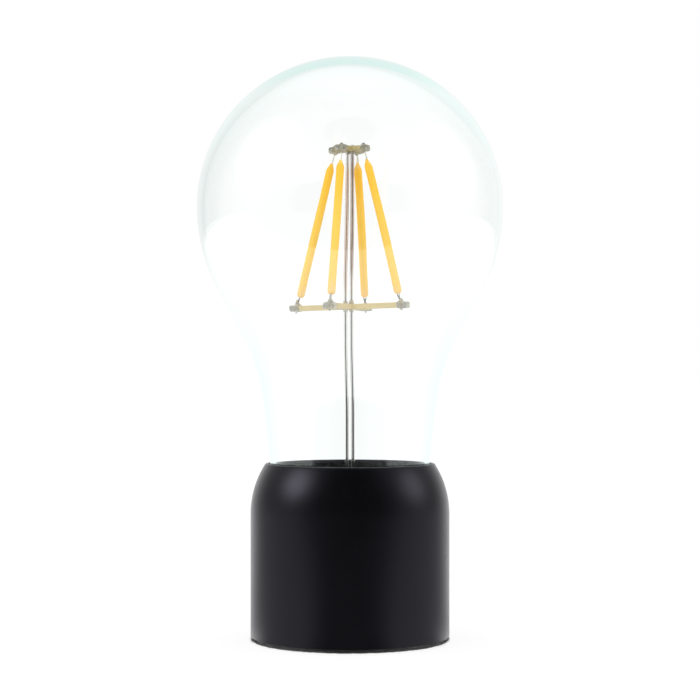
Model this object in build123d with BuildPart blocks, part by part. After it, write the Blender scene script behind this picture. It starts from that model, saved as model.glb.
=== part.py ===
from build123d import *
import os
from math import atan2, cos, degrees, radians, sin

# Floating bulb of a levitating lamp, in millimetres. It stands on its felt foot,
# +Z is up and the origin is the middle of the foot. A black cap holds a lifting
# magnet, a pickup coil and a driver board. A clear blown bulb is glued into the
# cap, and two rods carry four yellow filaments between two cross-shaped boards.

# Driving sizes of the whole lamp
lamp_height = 130.0
cap_radius = 22.3
rim_height = 39.25

# Fits and gaps that several pieces share
slide_gap = 0.1
rod_gap = 0.05

# Cap: a moulded cup with rounded shoulders, a thin rim and a seat for the glass
cap_wall = 2.3
shoulder_drop = 11.25
shoulder_inset = 3.4
rim_width = 0.6
rim_round = 0.2
foot_chamfer = 0.25
neck_depth = 6.25
seat_flange = 1.6
seat_ledge = 1.3

# Foot and bottom cover
felt_thickness = 0.7
felt_inset = 0.2
cover_thickness = 1.2
cover_chamfer = 0.3

# Glass bulb
glass_wall = 1.1
bulb_radius = 34.2
crown_rise = 33.5
neck_flare = 1.25
neck_height = 12.0
glue_gap = 0.4
glue_drop = 0.5
taper_gain_share = 1.54
hollow_radius_share = 1.25
crown_split_angle = 45.0

# Lifting magnet, pickup coil and their holder
coil_thickness = 1.5
coil_bore_radius = 9.0
coil_chamfer = 0.3
ferrite_thickness = 0.5
magnet_thickness = 10.0
magnet_chamfer = 0.4
holder_wall = 0.8
holder_web = 1.2
web_hole_radius = 6.0

# Coil leads and the slot that they rise through
lead_wire_radius = 0.3
lead_wire_spacing = 1.2
lead_wire_bend = 0.7
slot_margin = 0.6
lead_inset = 2.2

# Driver board and the parts that hang under it
driver_thickness = 1.6
component_ring_share = 0.55
resistor_ring_share = 0.3
tuning_ring_share = 0.64
bridge_length = 4.9
bridge_width = 4.0
bridge_height = 2.4
bridge_angle = 40.0
pin_width = 0.6
pin_thickness = 0.25
pin_reach = 0.9
capacitor_radius = 3.15
capacitor_height = 5.4
capacitor_foot = 6.6
capacitor_foot_height = 0.6
capacitor_angle = 150.0
capacitor_round = 0.4
inductor_side = 6.0
inductor_height = 3.0
inductor_round = 0.8
inductor_core_radius = 2.3
inductor_core_dip = 0.3
inductor_angle = 250.0
chip_length = 4.9
chip_width = 3.9
chip_height = 1.45
chip_pitch = 1.27
chip_pin_width = 0.4
chip_pins_a_side = 4
chip_angle = 320.0
resistor_length = 2.0
resistor_width = 1.25
resistor_height = 0.55
resistor_angles = (0.0, 95.0, 200.0, 285.0)
tuning_length = 1.6
tuning_width = 3.2
tuning_height = 1.5
tuning_angles = (78.0, 102.0)

# Stem plate, the black disc under the neck that the rods stand in
stem_plate_thickness = 1.5
boss_radius = 2.6
boss_height = 3.5
boss_round = 0.4

# Rods. They step aside between the boss and the lower board and lean back above
# it. The shares are of the free height below that board and of the cage's height
rod_radius = 0.45
rod_spread = 0.5
rod_spread_top = 0.2
rod_bend = 100.0
rod_tail = 1.0
rod_tip = 0.5
rod_step_start_share = 0.42
rod_step_end_share = 0.78
rod_lean_share = 0.22

# Cross-shaped boards at the two ends of the filaments
board_thickness = 1.2
board_tilt_angle = 1.5
lower_board_shift = -0.34
upper_board_shift = -0.2
lower_arm_angle = -18.6
upper_arm_angle = -28.0
arm_width = 2.35
passing_gap = 1.6
lower_pin_inset = 1.55
lower_pad_length = 2.5
upper_tip_radius = 4.6
upper_pin_inset = 0.95
upper_pad_length = 1.7
crown_clearance = 18.1

# Filaments and their wire ends
filament_length = 31.0
filament_radius = 0.9
filament_tip_radius = 0.35
filament_taper = 2.0
filament_round = 0.8
lower_lead_reach = 2.0
upper_lead_reach = 2.6
lead_radius = 0.23
lead_slack = 0.2
lead_stub = 0.6

# Solder
solder_coat = 0.12
solder_chamfer = 0.1
pad_cone_height = 1.2
pad_cone_radius = 1.05
cap_cone_height = 0.4
solder_lip = 0.06
rod_fillet_height = 0.8
rod_fillet_share = 0.42
rod_fillet_parting = 0.04

arm_count = 4
quarter_turn = 90.0

# Heights that follow from the stack in the cap, from the foot up
cap_bottom = felt_thickness
cover_top = cap_bottom + cover_thickness
coil_top = cover_top + coil_thickness
ferrite_top = coil_top + ferrite_thickness
magnet_top = ferrite_top + magnet_thickness
web_top = magnet_top + holder_web
seat_height = rim_height - neck_depth
stem_plate_top = seat_height - seat_flange
driver_top = stem_plate_top - stem_plate_thickness
driver_bottom = driver_top - driver_thickness

# Radii that follow from the cap
cavity_radius = cap_radius - cap_wall
rim_radius = cap_radius - shoulder_inset
socket_radius = rim_radius - rim_width
collar_radius = socket_radius - glue_gap
opening_radius = collar_radius - glass_wall - seat_ledge
holder_radius = cavity_radius - slide_gap
holder_bore = holder_radius - holder_wall
magnet_radius = holder_bore - slide_gap

# Places of the filament boards
lower_tip_radius = opening_radius - passing_gap
lower_pin_radius = lower_tip_radius - lower_pin_inset
upper_pin_radius = upper_tip_radius - upper_pin_inset
pin_twist = radians(upper_arm_angle - lower_arm_angle)
pin_step_squared = (
    lower_pin_radius**2
    + upper_pin_radius**2
    - 2 * lower_pin_radius * upper_pin_radius * cos(pin_twist)
)
filament_low_end = board_thickness / 2 + lower_lead_reach
filament_high_end = filament_low_end + filament_length
filament_span = filament_high_end + upper_lead_reach + board_thickness / 2
cage_height = (filament_span**2 - pin_step_squared) ** 0.5
upper_board_height = lamp_height - glass_wall - crown_clearance - board_thickness / 2
lower_board_height = upper_board_height - cage_height
lower_middle = (lower_board_shift, 0, lower_board_height)
upper_middle = (upper_board_shift, 0, upper_board_height)
lower_plane = Plane(origin=lower_middle).rotated((0, -board_tilt_angle, 0))
upper_plane = Plane(origin=upper_middle).rotated((0, -board_tilt_angle, 0))

# Places of the rods
rod_offset = rod_radius + rod_spread / 2
rod_offset_top = rod_radius + rod_spread_top / 2
rod_bore = rod_radius + rod_gap
lower_rod_places = [(side * rod_offset, 0) for side in (-1, 1)]
upper_rod_places = [(side * rod_offset_top - upper_board_shift, 0) for side in (-1, 1)]
boss_top = seat_height + boss_height
free_height = lower_board_height - board_thickness / 2 - boss_top
rod_step_start = boss_top + rod_step_start_share * free_height
rod_step_end = boss_top + rod_step_end_share * free_height
rod_lean_start = lower_board_height + rod_lean_share * cage_height


os.makedirs("parts", exist_ok=True)


# Felt foot
with BuildPart() as felt_pad:
    with BuildSketch(Plane.XY):
        Circle(cap_radius - felt_inset)
    extrude(amount=felt_thickness)
felt_pad.part.label = "felt_pad"
export_step(felt_pad.part, "parts/felt_pad.step")


# Cap, turned from its half section: open below, with an inner flange that the
# glass stands on and a thin rim round the neck
with BuildPart() as housing_cap:
    with BuildSketch(Plane.XZ):
        with BuildLine():
            shoulder_start = (cap_radius, rim_height - shoulder_drop)
            Polyline((cavity_radius, cap_bottom), (cap_radius, cap_bottom), shoulder_start)
            TangentArc(shoulder_start, (rim_radius, rim_height), tangent=(0, 1))
            Polyline(
                (rim_radius, rim_height),
                (socket_radius, rim_height),
                (socket_radius, seat_height),
                (opening_radius, seat_height),
                (opening_radius, stem_plate_top),
                (cavity_radius, stem_plate_top),
                (cavity_radius, cap_bottom),
            )
        make_face()
    revolve(axis=Axis.Z)
    rings = housing_cap.edges().filter_by(GeomType.CIRCLE)
    fillet(rings.group_by(Axis.Z)[-1].sort_by(SortBy.RADIUS)[-1], radius=rim_round)
    rings = housing_cap.edges().filter_by(GeomType.CIRCLE)
    chamfer(rings.group_by(Axis.Z)[0].sort_by(SortBy.RADIUS)[-1], length=foot_chamfer)
housing_cap.part.label = "housing_cap"
export_step(housing_cap.part, "parts/housing_cap.step")


# Bottom cover, flush with the cap's lower edge
with BuildPart() as bottom_cover:
    with BuildSketch(Plane.XY.offset(cap_bottom)):
        Circle(cavity_radius - slide_gap)
    extrude(amount=cover_thickness)
    chamfer(bottom_cover.edges().group_by(Axis.Z)[-1], length=cover_chamfer)
bottom_cover.part.label = "bottom_cover"
export_step(bottom_cover.part, "parts/bottom_cover.step")


# Pickup coil, a flat ring winding on the cover
coil_radius = magnet_radius - lead_wire_spacing / 2
with BuildPart() as receiver_coil:
    with BuildSketch(Plane.XY.offset(cover_top)):
        Circle(coil_radius)
        Circle(coil_bore_radius, mode=Mode.SUBTRACT)
    extrude(amount=coil_thickness)
    chamfer(receiver_coil.edges().group_by(Axis.Z)[-1], length=coil_chamfer)
receiver_coil.part.label = "receiver_coil"
export_step(receiver_coil.part, "parts/receiver_coil.step")


# Ferrite sheet between the coil and the magnet
with BuildPart() as ferrite_sheet:
    with BuildSketch(Plane.XY.offset(coil_top)):
        Circle(magnet_radius)
    extrude(amount=ferrite_thickness)
ferrite_sheet.part.label = "ferrite_sheet"
export_step(ferrite_sheet.part, "parts/ferrite_sheet.step")


# Lifting magnet, a nickel-plated disc
with BuildPart() as lifting_magnet:
    with BuildSketch(Plane.XY.offset(ferrite_top)):
        Circle(magnet_radius)
    extrude(amount=magnet_thickness)
    chamfer(lifting_magnet.edges().filter_by(GeomType.CIRCLE), length=magnet_chamfer)
lifting_magnet.part.label = "lifting_magnet"
export_step(lifting_magnet.part, "parts/lifting_magnet.step")


# Magnet holder, a sleeve with a web over the magnet. It stands on the cover,
# carries the driver board on its upper edge and is slotted for the coil leads
slot_width = lead_wire_spacing + 2 * (lead_wire_radius + slot_margin)
slot_top = (web_top + driver_bottom) / 2
with BuildPart() as magnet_holder:
    with BuildSketch(Plane.XY.offset(cover_top)):
        Circle(holder_radius)
        Circle(holder_bore, mode=Mode.SUBTRACT)
    extrude(amount=driver_bottom - cover_top)
    with BuildSketch(Plane.XY.offset(magnet_top)):
        Circle(holder_radius)
        Circle(web_hole_radius, mode=Mode.SUBTRACT)
    extrude(amount=holder_web)
    with BuildSketch(Plane.XY.offset(cover_top)):
        with Locations((0, holder_radius)):
            Rectangle(slot_width, 2 * (holder_radius - magnet_radius))
    extrude(amount=slot_top - cover_top, mode=Mode.SUBTRACT)
magnet_holder.part.label = "magnet_holder"
export_step(magnet_holder.part, "parts/magnet_holder.step")


# Driver board with bores for the rods and for the two coil leads
driver_radius = cavity_radius - 2 * slide_gap
lead_hole_place = driver_radius - lead_inset
with BuildPart() as driver_board:
    with BuildSketch(Plane.XY.offset(driver_bottom)):
        Circle(driver_radius)
        with Locations((-rod_offset, 0), (rod_offset, 0)):
            Circle(rod_bore, mode=Mode.SUBTRACT)
        with Locations((0, lead_hole_place)):
            with GridLocations(lead_wire_spacing, 0, 2, 1):
                Circle(lead_wire_radius + rod_gap, mode=Mode.SUBTRACT)
    extrude(amount=driver_thickness)
driver_board.part.label = "driver_board"
export_step(driver_board.part, "parts/driver_board.step")


# Coil leads, from the coil's edge up the slot and into the driver board
lead_rise_place = (holder_bore + cavity_radius) / 2 - slide_gap / 2
lead_turn_height = web_top + lead_inset
lead_start_height = (cover_top + coil_top) / 2
with BuildPart() as coil_leads:
    for side in (-1, 1):
        lead_x = side * lead_wire_spacing / 2
        lead_start = (lead_x, coil_radius, lead_start_height)
        with BuildLine():
            lead_route = FilletPolyline(
                lead_start,
                (lead_x, lead_rise_place, lead_start_height),
                (lead_x, lead_rise_place, lead_turn_height),
                (lead_x, lead_hole_place, lead_turn_height + lead_inset),
                (lead_x, lead_hole_place, driver_top),
                radius=lead_wire_bend,
            )
        with BuildSketch(Plane(origin=lead_start, z_dir=(0, 1, 0))):
            Circle(lead_wire_radius)
        sweep(path=lead_route)
coil_leads.part.label = "coil_leads"
export_step(coil_leads.part, "parts/coil_leads.step")


# Parts under the driver board. Each hangs at its place on a ring round the rods
def hanging_plane(ring_share, angle):
    """The plane on the driver board's underside at a place on a ring, facing down."""
    place = driver_radius * ring_share
    origin = (place * cos(radians(angle)), place * sin(radians(angle)), driver_bottom)
    outward = (cos(radians(angle)), sin(radians(angle)), 0)
    return Plane(origin=origin, x_dir=outward, z_dir=(0, 0, -1))


bridge_plane = hanging_plane(component_ring_share, bridge_angle)
with BuildPart() as bridge_rectifier:
    with BuildSketch(bridge_plane):
        Rectangle(bridge_width, bridge_length)
    extrude(amount=bridge_height)
    chamfer(bridge_rectifier.edges().filter_by(Axis.Z), length=pin_thickness)
    with BuildSketch(bridge_plane):
        with GridLocations(bridge_width + pin_reach, bridge_length / 2, 2, 2):
            Rectangle(pin_reach, pin_width)
    extrude(amount=pin_thickness)
bridge_rectifier.part.label = "bridge_rectifier"
export_step(bridge_rectifier.part, "parts/bridge_rectifier.step")


capacitor_plane = hanging_plane(component_ring_share, capacitor_angle)
with BuildPart() as smoothing_capacitor:
    with BuildSketch(capacitor_plane):
        foot = Rectangle(capacitor_foot, capacitor_foot)
        chamfer(foot.vertices().group_by(Axis.X)[-1], length=2 * capacitor_foot_height)
    extrude(amount=capacitor_foot_height)
    with BuildSketch(capacitor_plane.offset(capacitor_foot_height)):
        Circle(capacitor_radius)
    extrude(amount=capacitor_height - capacitor_foot_height)
    can_end = smoothing_capacitor.faces().sort_by(Axis.Z)[0].edges()
    fillet(can_end, radius=capacitor_round)
smoothing_capacitor.part.label = "smoothing_capacitor"
export_step(smoothing_capacitor.part, "parts/smoothing_capacitor.step")


inductor_plane = hanging_plane(component_ring_share, inductor_angle)
with BuildPart() as power_inductor:
    with BuildSketch(inductor_plane):
        RectangleRounded(inductor_side, inductor_side, inductor_round)
    extrude(amount=inductor_height)
    with BuildSketch(inductor_plane.offset(inductor_height)):
        Circle(inductor_core_radius)
    extrude(amount=-inductor_core_dip, mode=Mode.SUBTRACT)
power_inductor.part.label = "power_inductor"
export_step(power_inductor.part, "parts/power_inductor.step")


chip_plane = hanging_plane(component_ring_share, chip_angle)
with BuildPart() as driver_chip:
    with BuildSketch(chip_plane):
        Rectangle(chip_width, chip_length)
    extrude(amount=chip_height)
    with BuildSketch(chip_plane):
        with GridLocations(chip_width + pin_reach, chip_pitch, 2, chip_pins_a_side):
            Rectangle(pin_reach, chip_pin_width)
    extrude(amount=pin_thickness)
driver_chip.part.label = "driver_chip"
export_step(driver_chip.part, "parts/driver_chip.step")


with BuildPart() as chip_resistors:
    for resistor_angle in resistor_angles:
        with BuildSketch(hanging_plane(resistor_ring_share, resistor_angle)):
            Rectangle(resistor_width, resistor_length)
        extrude(amount=resistor_height)
chip_resistors.part.label = "chip_resistors"
export_step(chip_resistors.part, "parts/chip_resistors.step")


with BuildPart() as tuning_capacitors:
    for tuning_angle in tuning_angles:
        with BuildSketch(hanging_plane(tuning_ring_share, tuning_angle)):
            Rectangle(tuning_width, tuning_length)
        extrude(amount=tuning_height)
tuning_capacitors.part.label = "tuning_capacitors"
export_step(tuning_capacitors.part, "parts/tuning_capacitors.step")


# Stem plate: a disc under the flange, a spigot in its opening and a boss for
# the rods
with BuildPart() as stem_plate:
    with BuildSketch(Plane.XY.offset(driver_top)):
        Circle(cavity_radius - slide_gap)
    extrude(amount=stem_plate_thickness)
    with BuildSketch(Plane.XY.offset(stem_plate_top)):
        Circle(opening_radius - slide_gap)
    extrude(amount=seat_flange)
    with BuildSketch(Plane.XY.offset(seat_height)):
        Circle(boss_radius)
    extrude(amount=boss_height)
    boss_rings = stem_plate.edges().filter_by(GeomType.CIRCLE).group_by(Axis.Z)
    fillet(boss_rings[-1], radius=boss_round)
    with BuildSketch(Plane.XY.offset(driver_top)):
        with Locations((-rod_offset, 0), (rod_offset, 0)):
            Circle(rod_bore)
    extrude(amount=stem_plate_thickness + seat_flange + boss_height, mode=Mode.SUBTRACT)
stem_plate.part.label = "stem_plate"
export_step(stem_plate.part, "parts/stem_plate.step")


# Rods: upright through the boss, a step aside, upright through the lower board
# and drawn together towards the upper one. The left one ends in the upper board
# and the right one stands out above it
def support_rod(side, top_height):
    """One rod on the given side, up to the given height."""
    foot_height = driver_bottom - rod_tail
    with BuildPart() as rod:
        with BuildLine():
            route = FilletPolyline(
                (side * rod_offset, 0, foot_height),
                (side * rod_offset, 0, rod_step_start),
                (lower_board_shift + side * rod_offset, 0, rod_step_end),
                (lower_board_shift + side * rod_offset, 0, rod_lean_start),
                (side * rod_offset_top, 0, top_height),
                radius=rod_bend,
            )
        with BuildSketch(Plane.XY.offset(foot_height)):
            with Locations((side * rod_offset, 0)):
                Circle(rod_radius)
        sweep(path=route)
    return rod


support_rod_left = support_rod(-1, upper_board_height + board_thickness / 2)
support_rod_left.part.label = "support_rod_left"
export_step(support_rod_left.part, "parts/support_rod_left.step")

support_rod_right = support_rod(1, upper_board_height + board_thickness / 2 + rod_tip)
support_rod_right.part.label = "support_rod_right"
export_step(support_rod_right.part, "parts/support_rod_right.step")


# Solder round the rods' feet under the driver board
with BuildPart() as base_rod_solder:
    with Locations(Plane(origin=(0, 0, driver_bottom), z_dir=(0, 0, -1))):
        with Locations((-rod_offset, 0), (rod_offset, 0)):
            Cone(
                rod_radius + rod_spread * rod_fillet_share,
                rod_radius + solder_lip,
                rod_fillet_height,
                align=(Align.CENTER, Align.CENTER, Align.MIN),
            )
    add(support_rod_left.part, mode=Mode.SUBTRACT)
    add(support_rod_right.part, mode=Mode.SUBTRACT)
base_rod_solder.part.label = "base_rod_solder"
export_step(base_rod_solder.part, "parts/base_rod_solder.step")


# Filament boards: four arms, a hole near each arm's end and two for the rods
def filament_board(plane, tip_radius, arm_angle, pin_radius, rod_places):
    """A cross-shaped board about the given plane."""
    with BuildPart() as board:
        with BuildSketch(plane):
            Rectangle(2 * tip_radius, arm_width, rotation=arm_angle)
            Rectangle(2 * tip_radius, arm_width, rotation=arm_angle + quarter_turn)
            with PolarLocations(pin_radius, arm_count, start_angle=arm_angle):
                Circle(lead_radius + lead_slack, mode=Mode.SUBTRACT)
            with Locations(*rod_places):
                Circle(rod_bore, mode=Mode.SUBTRACT)
        extrude(amount=board_thickness / 2, both=True)
    return board


lower_led_board = filament_board(
    lower_plane, lower_tip_radius, lower_arm_angle, lower_pin_radius, lower_rod_places
)
lower_led_board.part.label = "lower_led_board"
export_step(lower_led_board.part, "parts/lower_led_board.step")

upper_led_board = filament_board(
    upper_plane, upper_tip_radius, upper_arm_angle, upper_pin_radius, upper_rod_places
)
upper_led_board.part.label = "upper_led_board"
export_step(upper_led_board.part, "parts/upper_led_board.step")


# Filament axes, each from a pin place on the lower board to one on the upper
def pin_place(plane, pin_radius, arm_angle):
    """A pin place in the middle of a board's thickness."""
    turn = radians(arm_angle)
    return plane.from_local_coords(Vector(pin_radius * cos(turn), pin_radius * sin(turn), 0))


filament_names = ("right", "far", "left", "near")
lower_pins = [
    pin_place(lower_plane, lower_pin_radius, lower_arm_angle + index * quarter_turn)
    for index in range(arm_count)
]
upper_pins = [
    pin_place(upper_plane, upper_pin_radius, upper_arm_angle + index * quarter_turn)
    for index in range(arm_count)
]


# Filaments, each turned about its own leaning axis: a blunt round end below and
# a long slim one above
def filament_body(lower_pin, upper_pin):
    """One filament between two pin places."""
    along = (upper_pin - lower_pin).normalized()
    across = Vector(0, 0, 1).cross(along).normalized()
    with BuildPart() as body:
        with BuildSketch(Plane(origin=lower_pin, x_dir=across, z_dir=across.cross(along))):
            with BuildLine():
                low_shoulder = (filament_radius, filament_low_end + filament_round)
                high_shoulder = (filament_radius, filament_high_end - filament_taper)
                low_tip = (filament_tip_radius, filament_low_end)
                high_tip = (filament_tip_radius, filament_high_end)
                Polyline((0, filament_high_end), (0, filament_low_end), low_tip)
                TangentArc(low_shoulder, low_tip, tangent=(0, -1))
                Line(low_shoulder, high_shoulder)
                TangentArc(high_shoulder, high_tip, tangent=(0, 1))
                Line(high_tip, (0, filament_high_end))
            make_face()
        revolve(axis=Axis(lower_pin, along))
    return body


for filament_name, lower_pin, upper_pin in zip(filament_names, lower_pins, upper_pins):
    filament = filament_body(lower_pin, upper_pin)
    filament.part.label = f"filament_{filament_name}"
    export_step(filament.part, f"parts/filament_{filament_name}.step")


# Wire ends, from a filament's tip through the board's hole
def filament_leads(from_pins, to_pins, is_lower):
    """Four wires, each along its filament's axis from outside its board."""
    with BuildPart() as wires:
        for from_pin, to_pin in zip(from_pins, to_pins):
            span = (to_pin - from_pin).length
            along = (to_pin - from_pin).normalized()
            outer_end = board_thickness / 2 + lead_stub
            inner_end = filament_low_end if is_lower else span - filament_high_end
            with BuildSketch(Plane(origin=from_pin - along * outer_end, z_dir=along)):
                Circle(lead_radius)
            extrude(amount=outer_end + inner_end)
    return wires


filament_leads_lower = filament_leads(lower_pins, upper_pins, is_lower=True)
filament_leads_lower.part.label = "filament_leads_lower"
export_step(filament_leads_lower.part, "parts/filament_leads_lower.step")

filament_leads_upper = filament_leads(upper_pins, lower_pins, is_lower=False)
filament_leads_upper.part.label = "filament_leads_upper"
export_step(filament_leads_upper.part, "parts/filament_leads_upper.step")


# Solder at the arms' ends: a coat round the end, a cone up the wire on the
# filament's side and a low cap on the other
def lead_solder(plane, board, leads, tip_radius, pad_length, pin_radius, arm_angle, side):
    """Four joints on one board. The side is 1 where the filaments are above it."""
    pad_middle = tip_radius + solder_coat - pad_length / 2
    facing = plane.offset(side * board_thickness / 2)
    backing = plane.offset(-side * board_thickness / 2)
    cone_align = (Align.CENTER, Align.CENTER, Align.MIN if side > 0 else Align.MAX)
    cap_align = (Align.CENTER, Align.CENTER, Align.MAX if side > 0 else Align.MIN)
    cone_radii = (pad_cone_radius, lead_radius + solder_lip)
    cap_radii = (lead_radius + solder_lip, pad_cone_radius)
    if side < 0:
        cone_radii = cone_radii[::-1]
        cap_radii = cap_radii[::-1]
    with BuildPart() as joints:
        with Locations(plane):
            with PolarLocations(pad_middle, arm_count, start_angle=arm_angle):
                Box(pad_length, arm_width + 2 * solder_coat, board_thickness + 2 * solder_coat)
        chamfer(joints.edges(), length=solder_chamfer)
        with Locations(facing):
            with PolarLocations(pin_radius, arm_count, start_angle=arm_angle):
                Cone(*cone_radii, pad_cone_height, align=cone_align)
        with Locations(backing):
            with PolarLocations(pin_radius, arm_count, start_angle=arm_angle):
                Cone(*cap_radii, cap_cone_height, align=cap_align)
        add(board.part, mode=Mode.SUBTRACT)
        add(leads.part, mode=Mode.SUBTRACT)
    return joints


lower_lead_solder = lead_solder(
    lower_plane,
    lower_led_board,
    filament_leads_lower,
    lower_tip_radius,
    lower_pad_length,
    lower_pin_radius,
    lower_arm_angle,
    1,
)
lower_lead_solder.part.label = "lower_lead_solder"
export_step(lower_lead_solder.part, "parts/lower_lead_solder.step")

upper_lead_solder = lead_solder(
    upper_plane,
    upper_led_board,
    filament_leads_upper,
    upper_tip_radius,
    upper_pad_length,
    upper_pin_radius,
    upper_arm_angle,
    -1,
)
upper_lead_solder.part.label = "upper_lead_solder"
export_step(upper_lead_solder.part, "parts/upper_lead_solder.step")


# Solder fillets round the rods, above and below the lower board and below the
# upper one, where a slit parts them
def rod_solder(plane, rod_places, facings):
    """Cones round both rods on the named faces of a board."""
    wide_radius = rod_radius + rod_spread * rod_fillet_share
    slim_radius = rod_radius + solder_lip
    middle = (rod_places[0][0] + rod_places[1][0]) / 2
    with BuildPart() as joints:
        for facing in facings:
            face_plane = plane.offset(facing * board_thickness / 2)
            with Locations(face_plane):
                with Locations(*rod_places):
                    if facing > 0:
                        Cone(
                            wide_radius,
                            slim_radius,
                            rod_fillet_height,
                            align=(Align.CENTER, Align.CENTER, Align.MIN),
                        )
                    else:
                        Cone(
                            slim_radius,
                            wide_radius,
                            rod_fillet_height,
                            align=(Align.CENTER, Align.CENTER, Align.MAX),
                        )
        with Locations(plane):
            with Locations((middle, 0)):
                Box(
                    rod_fillet_parting,
                    2 * wide_radius,
                    board_thickness + 2 * rod_fillet_height,
                    mode=Mode.SUBTRACT,
                )
        add(support_rod_left.part, mode=Mode.SUBTRACT)
        add(support_rod_right.part, mode=Mode.SUBTRACT)
    return joints


lower_rod_solder = rod_solder(lower_plane, lower_rod_places, (1, -1))
lower_rod_solder.part.label = "lower_rod_solder"
export_step(lower_rod_solder.part, "parts/lower_rod_solder.step")

upper_rod_solder = rod_solder(upper_plane, upper_rod_places, (-1,))
upper_rod_solder.part.label = "upper_rod_solder"
export_step(upper_rod_solder.part, "parts/upper_rod_solder.step")


# Glue ring between the neck and the cap
with BuildPart() as neck_adhesive:
    with BuildSketch(Plane.XY.offset(seat_height)):
        Circle(socket_radius)
        Circle(collar_radius, mode=Mode.SUBTRACT)
    extrude(amount=neck_depth - glue_drop)
neck_adhesive.part.label = "neck_adhesive"
export_step(neck_adhesive.part, "parts/neck_adhesive.step")


# Glass bulb. The crown is two arcs that meet at the split angle and together
# rise and reach as far as asked. Below the widest line an arc, a straight run
# and a hollow arc lead into the tapered neck. The taper's steepest slope and
# the hollow arc's radius are shares of the mean slope and of the upper arc
split = radians(crown_split_angle)
split_gain = 2 * sin(split) - 1
crown_radius = (bulb_radius * sin(split) - crown_rise * (1 - sin(split))) / split_gain
side_radius = (crown_rise * sin(split) - bulb_radius * (1 - sin(split))) / split_gain
widest_height = lamp_height - crown_rise
neck_top_radius = collar_radius + neck_flare
taper_reach = bulb_radius - neck_top_radius
taper_drop = widest_height - rim_height - neck_height
neck_slope = atan2(neck_flare, neck_height)
taper_slope = taper_gain_share * atan2(taper_reach, taper_drop)
arc_reach = 1 - cos(taper_slope) + hollow_radius_share * (cos(neck_slope) - cos(taper_slope))
arc_drop = sin(taper_slope) + hollow_radius_share * (sin(taper_slope) - sin(neck_slope))
solver = arc_reach * cos(taper_slope) - arc_drop * sin(taper_slope)
lower_radius = (taper_reach * cos(taper_slope) - taper_drop * sin(taper_slope)) / solver
run_length = (arc_reach * taper_drop - arc_drop * taper_reach) / solver

with BuildPart() as glass_envelope:
    with BuildSketch(Plane.XZ):
        with BuildLine() as bulb_outline:
            crown = JernArc((0, lamp_height), (1, 0), crown_radius, -crown_split_angle)
            upper_side = JernArc(crown @ 1, crown % 1, side_radius, crown_split_angle - quarter_turn)
            lower_side = JernArc(upper_side @ 1, upper_side % 1, lower_radius, -degrees(taper_slope))
            run = PolarLine(lower_side @ 1, run_length, direction=lower_side % 1)
            hollow = JernArc(
                run @ 1,
                run % 1,
                hollow_radius_share * lower_radius,
                degrees(taper_slope - neck_slope),
            )
            neck = Line(hollow @ 1, (collar_radius, rim_height))
            Line(neck @ 1, (collar_radius, seat_height))
            offset(amount=glass_wall, side=Side.RIGHT, closed=True)
        make_face()
    revolve(axis=Axis.Z)
glass_envelope.part.label = "glass_envelope"
export_step(glass_envelope.part, "parts/glass_envelope.step")
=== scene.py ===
import logging
import math
import random
from dataclasses import dataclass, field
from enum import Enum

import bmesh
import bpy
from mathutils import Matrix, Quaternion, Vector


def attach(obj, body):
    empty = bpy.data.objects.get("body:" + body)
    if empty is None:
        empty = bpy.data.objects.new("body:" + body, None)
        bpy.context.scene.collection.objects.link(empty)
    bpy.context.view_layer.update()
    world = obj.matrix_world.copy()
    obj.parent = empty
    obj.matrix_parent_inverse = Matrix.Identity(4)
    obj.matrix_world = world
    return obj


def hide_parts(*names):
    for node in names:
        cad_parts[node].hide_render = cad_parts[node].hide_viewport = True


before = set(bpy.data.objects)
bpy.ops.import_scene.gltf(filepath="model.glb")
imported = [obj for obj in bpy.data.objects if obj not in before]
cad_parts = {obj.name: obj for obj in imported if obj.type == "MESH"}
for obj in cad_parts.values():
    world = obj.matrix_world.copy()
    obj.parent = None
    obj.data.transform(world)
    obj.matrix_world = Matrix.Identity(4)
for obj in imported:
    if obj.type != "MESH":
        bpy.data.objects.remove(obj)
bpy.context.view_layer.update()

log = logging.getLogger("floating_bulb")

MM = 0.001
MERGE = 0.0001 * MM
Colour = tuple[float, float, float, float]
WHITE: Colour = (1.0, 1.0, 1.0, 1.0)


def tone(red: float, green: float, blue: float) -> Colour:
    """A screen colour from 0 to 255 as the linear one that shaders take.

    Args:
        red: The red share as a screen shows it.
        green: The green share.
        blue: The blue share.

    Returns:
        The linear colour with full alpha.
    """
    shares = [value / 255 for value in (red, green, blue)]
    linear = [s / 12.92 if s <= 0.04045 else ((s + 0.055) / 1.055) ** 2.4 for s in shares]
    return (*linear, 1.0)


# Shader maths


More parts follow.
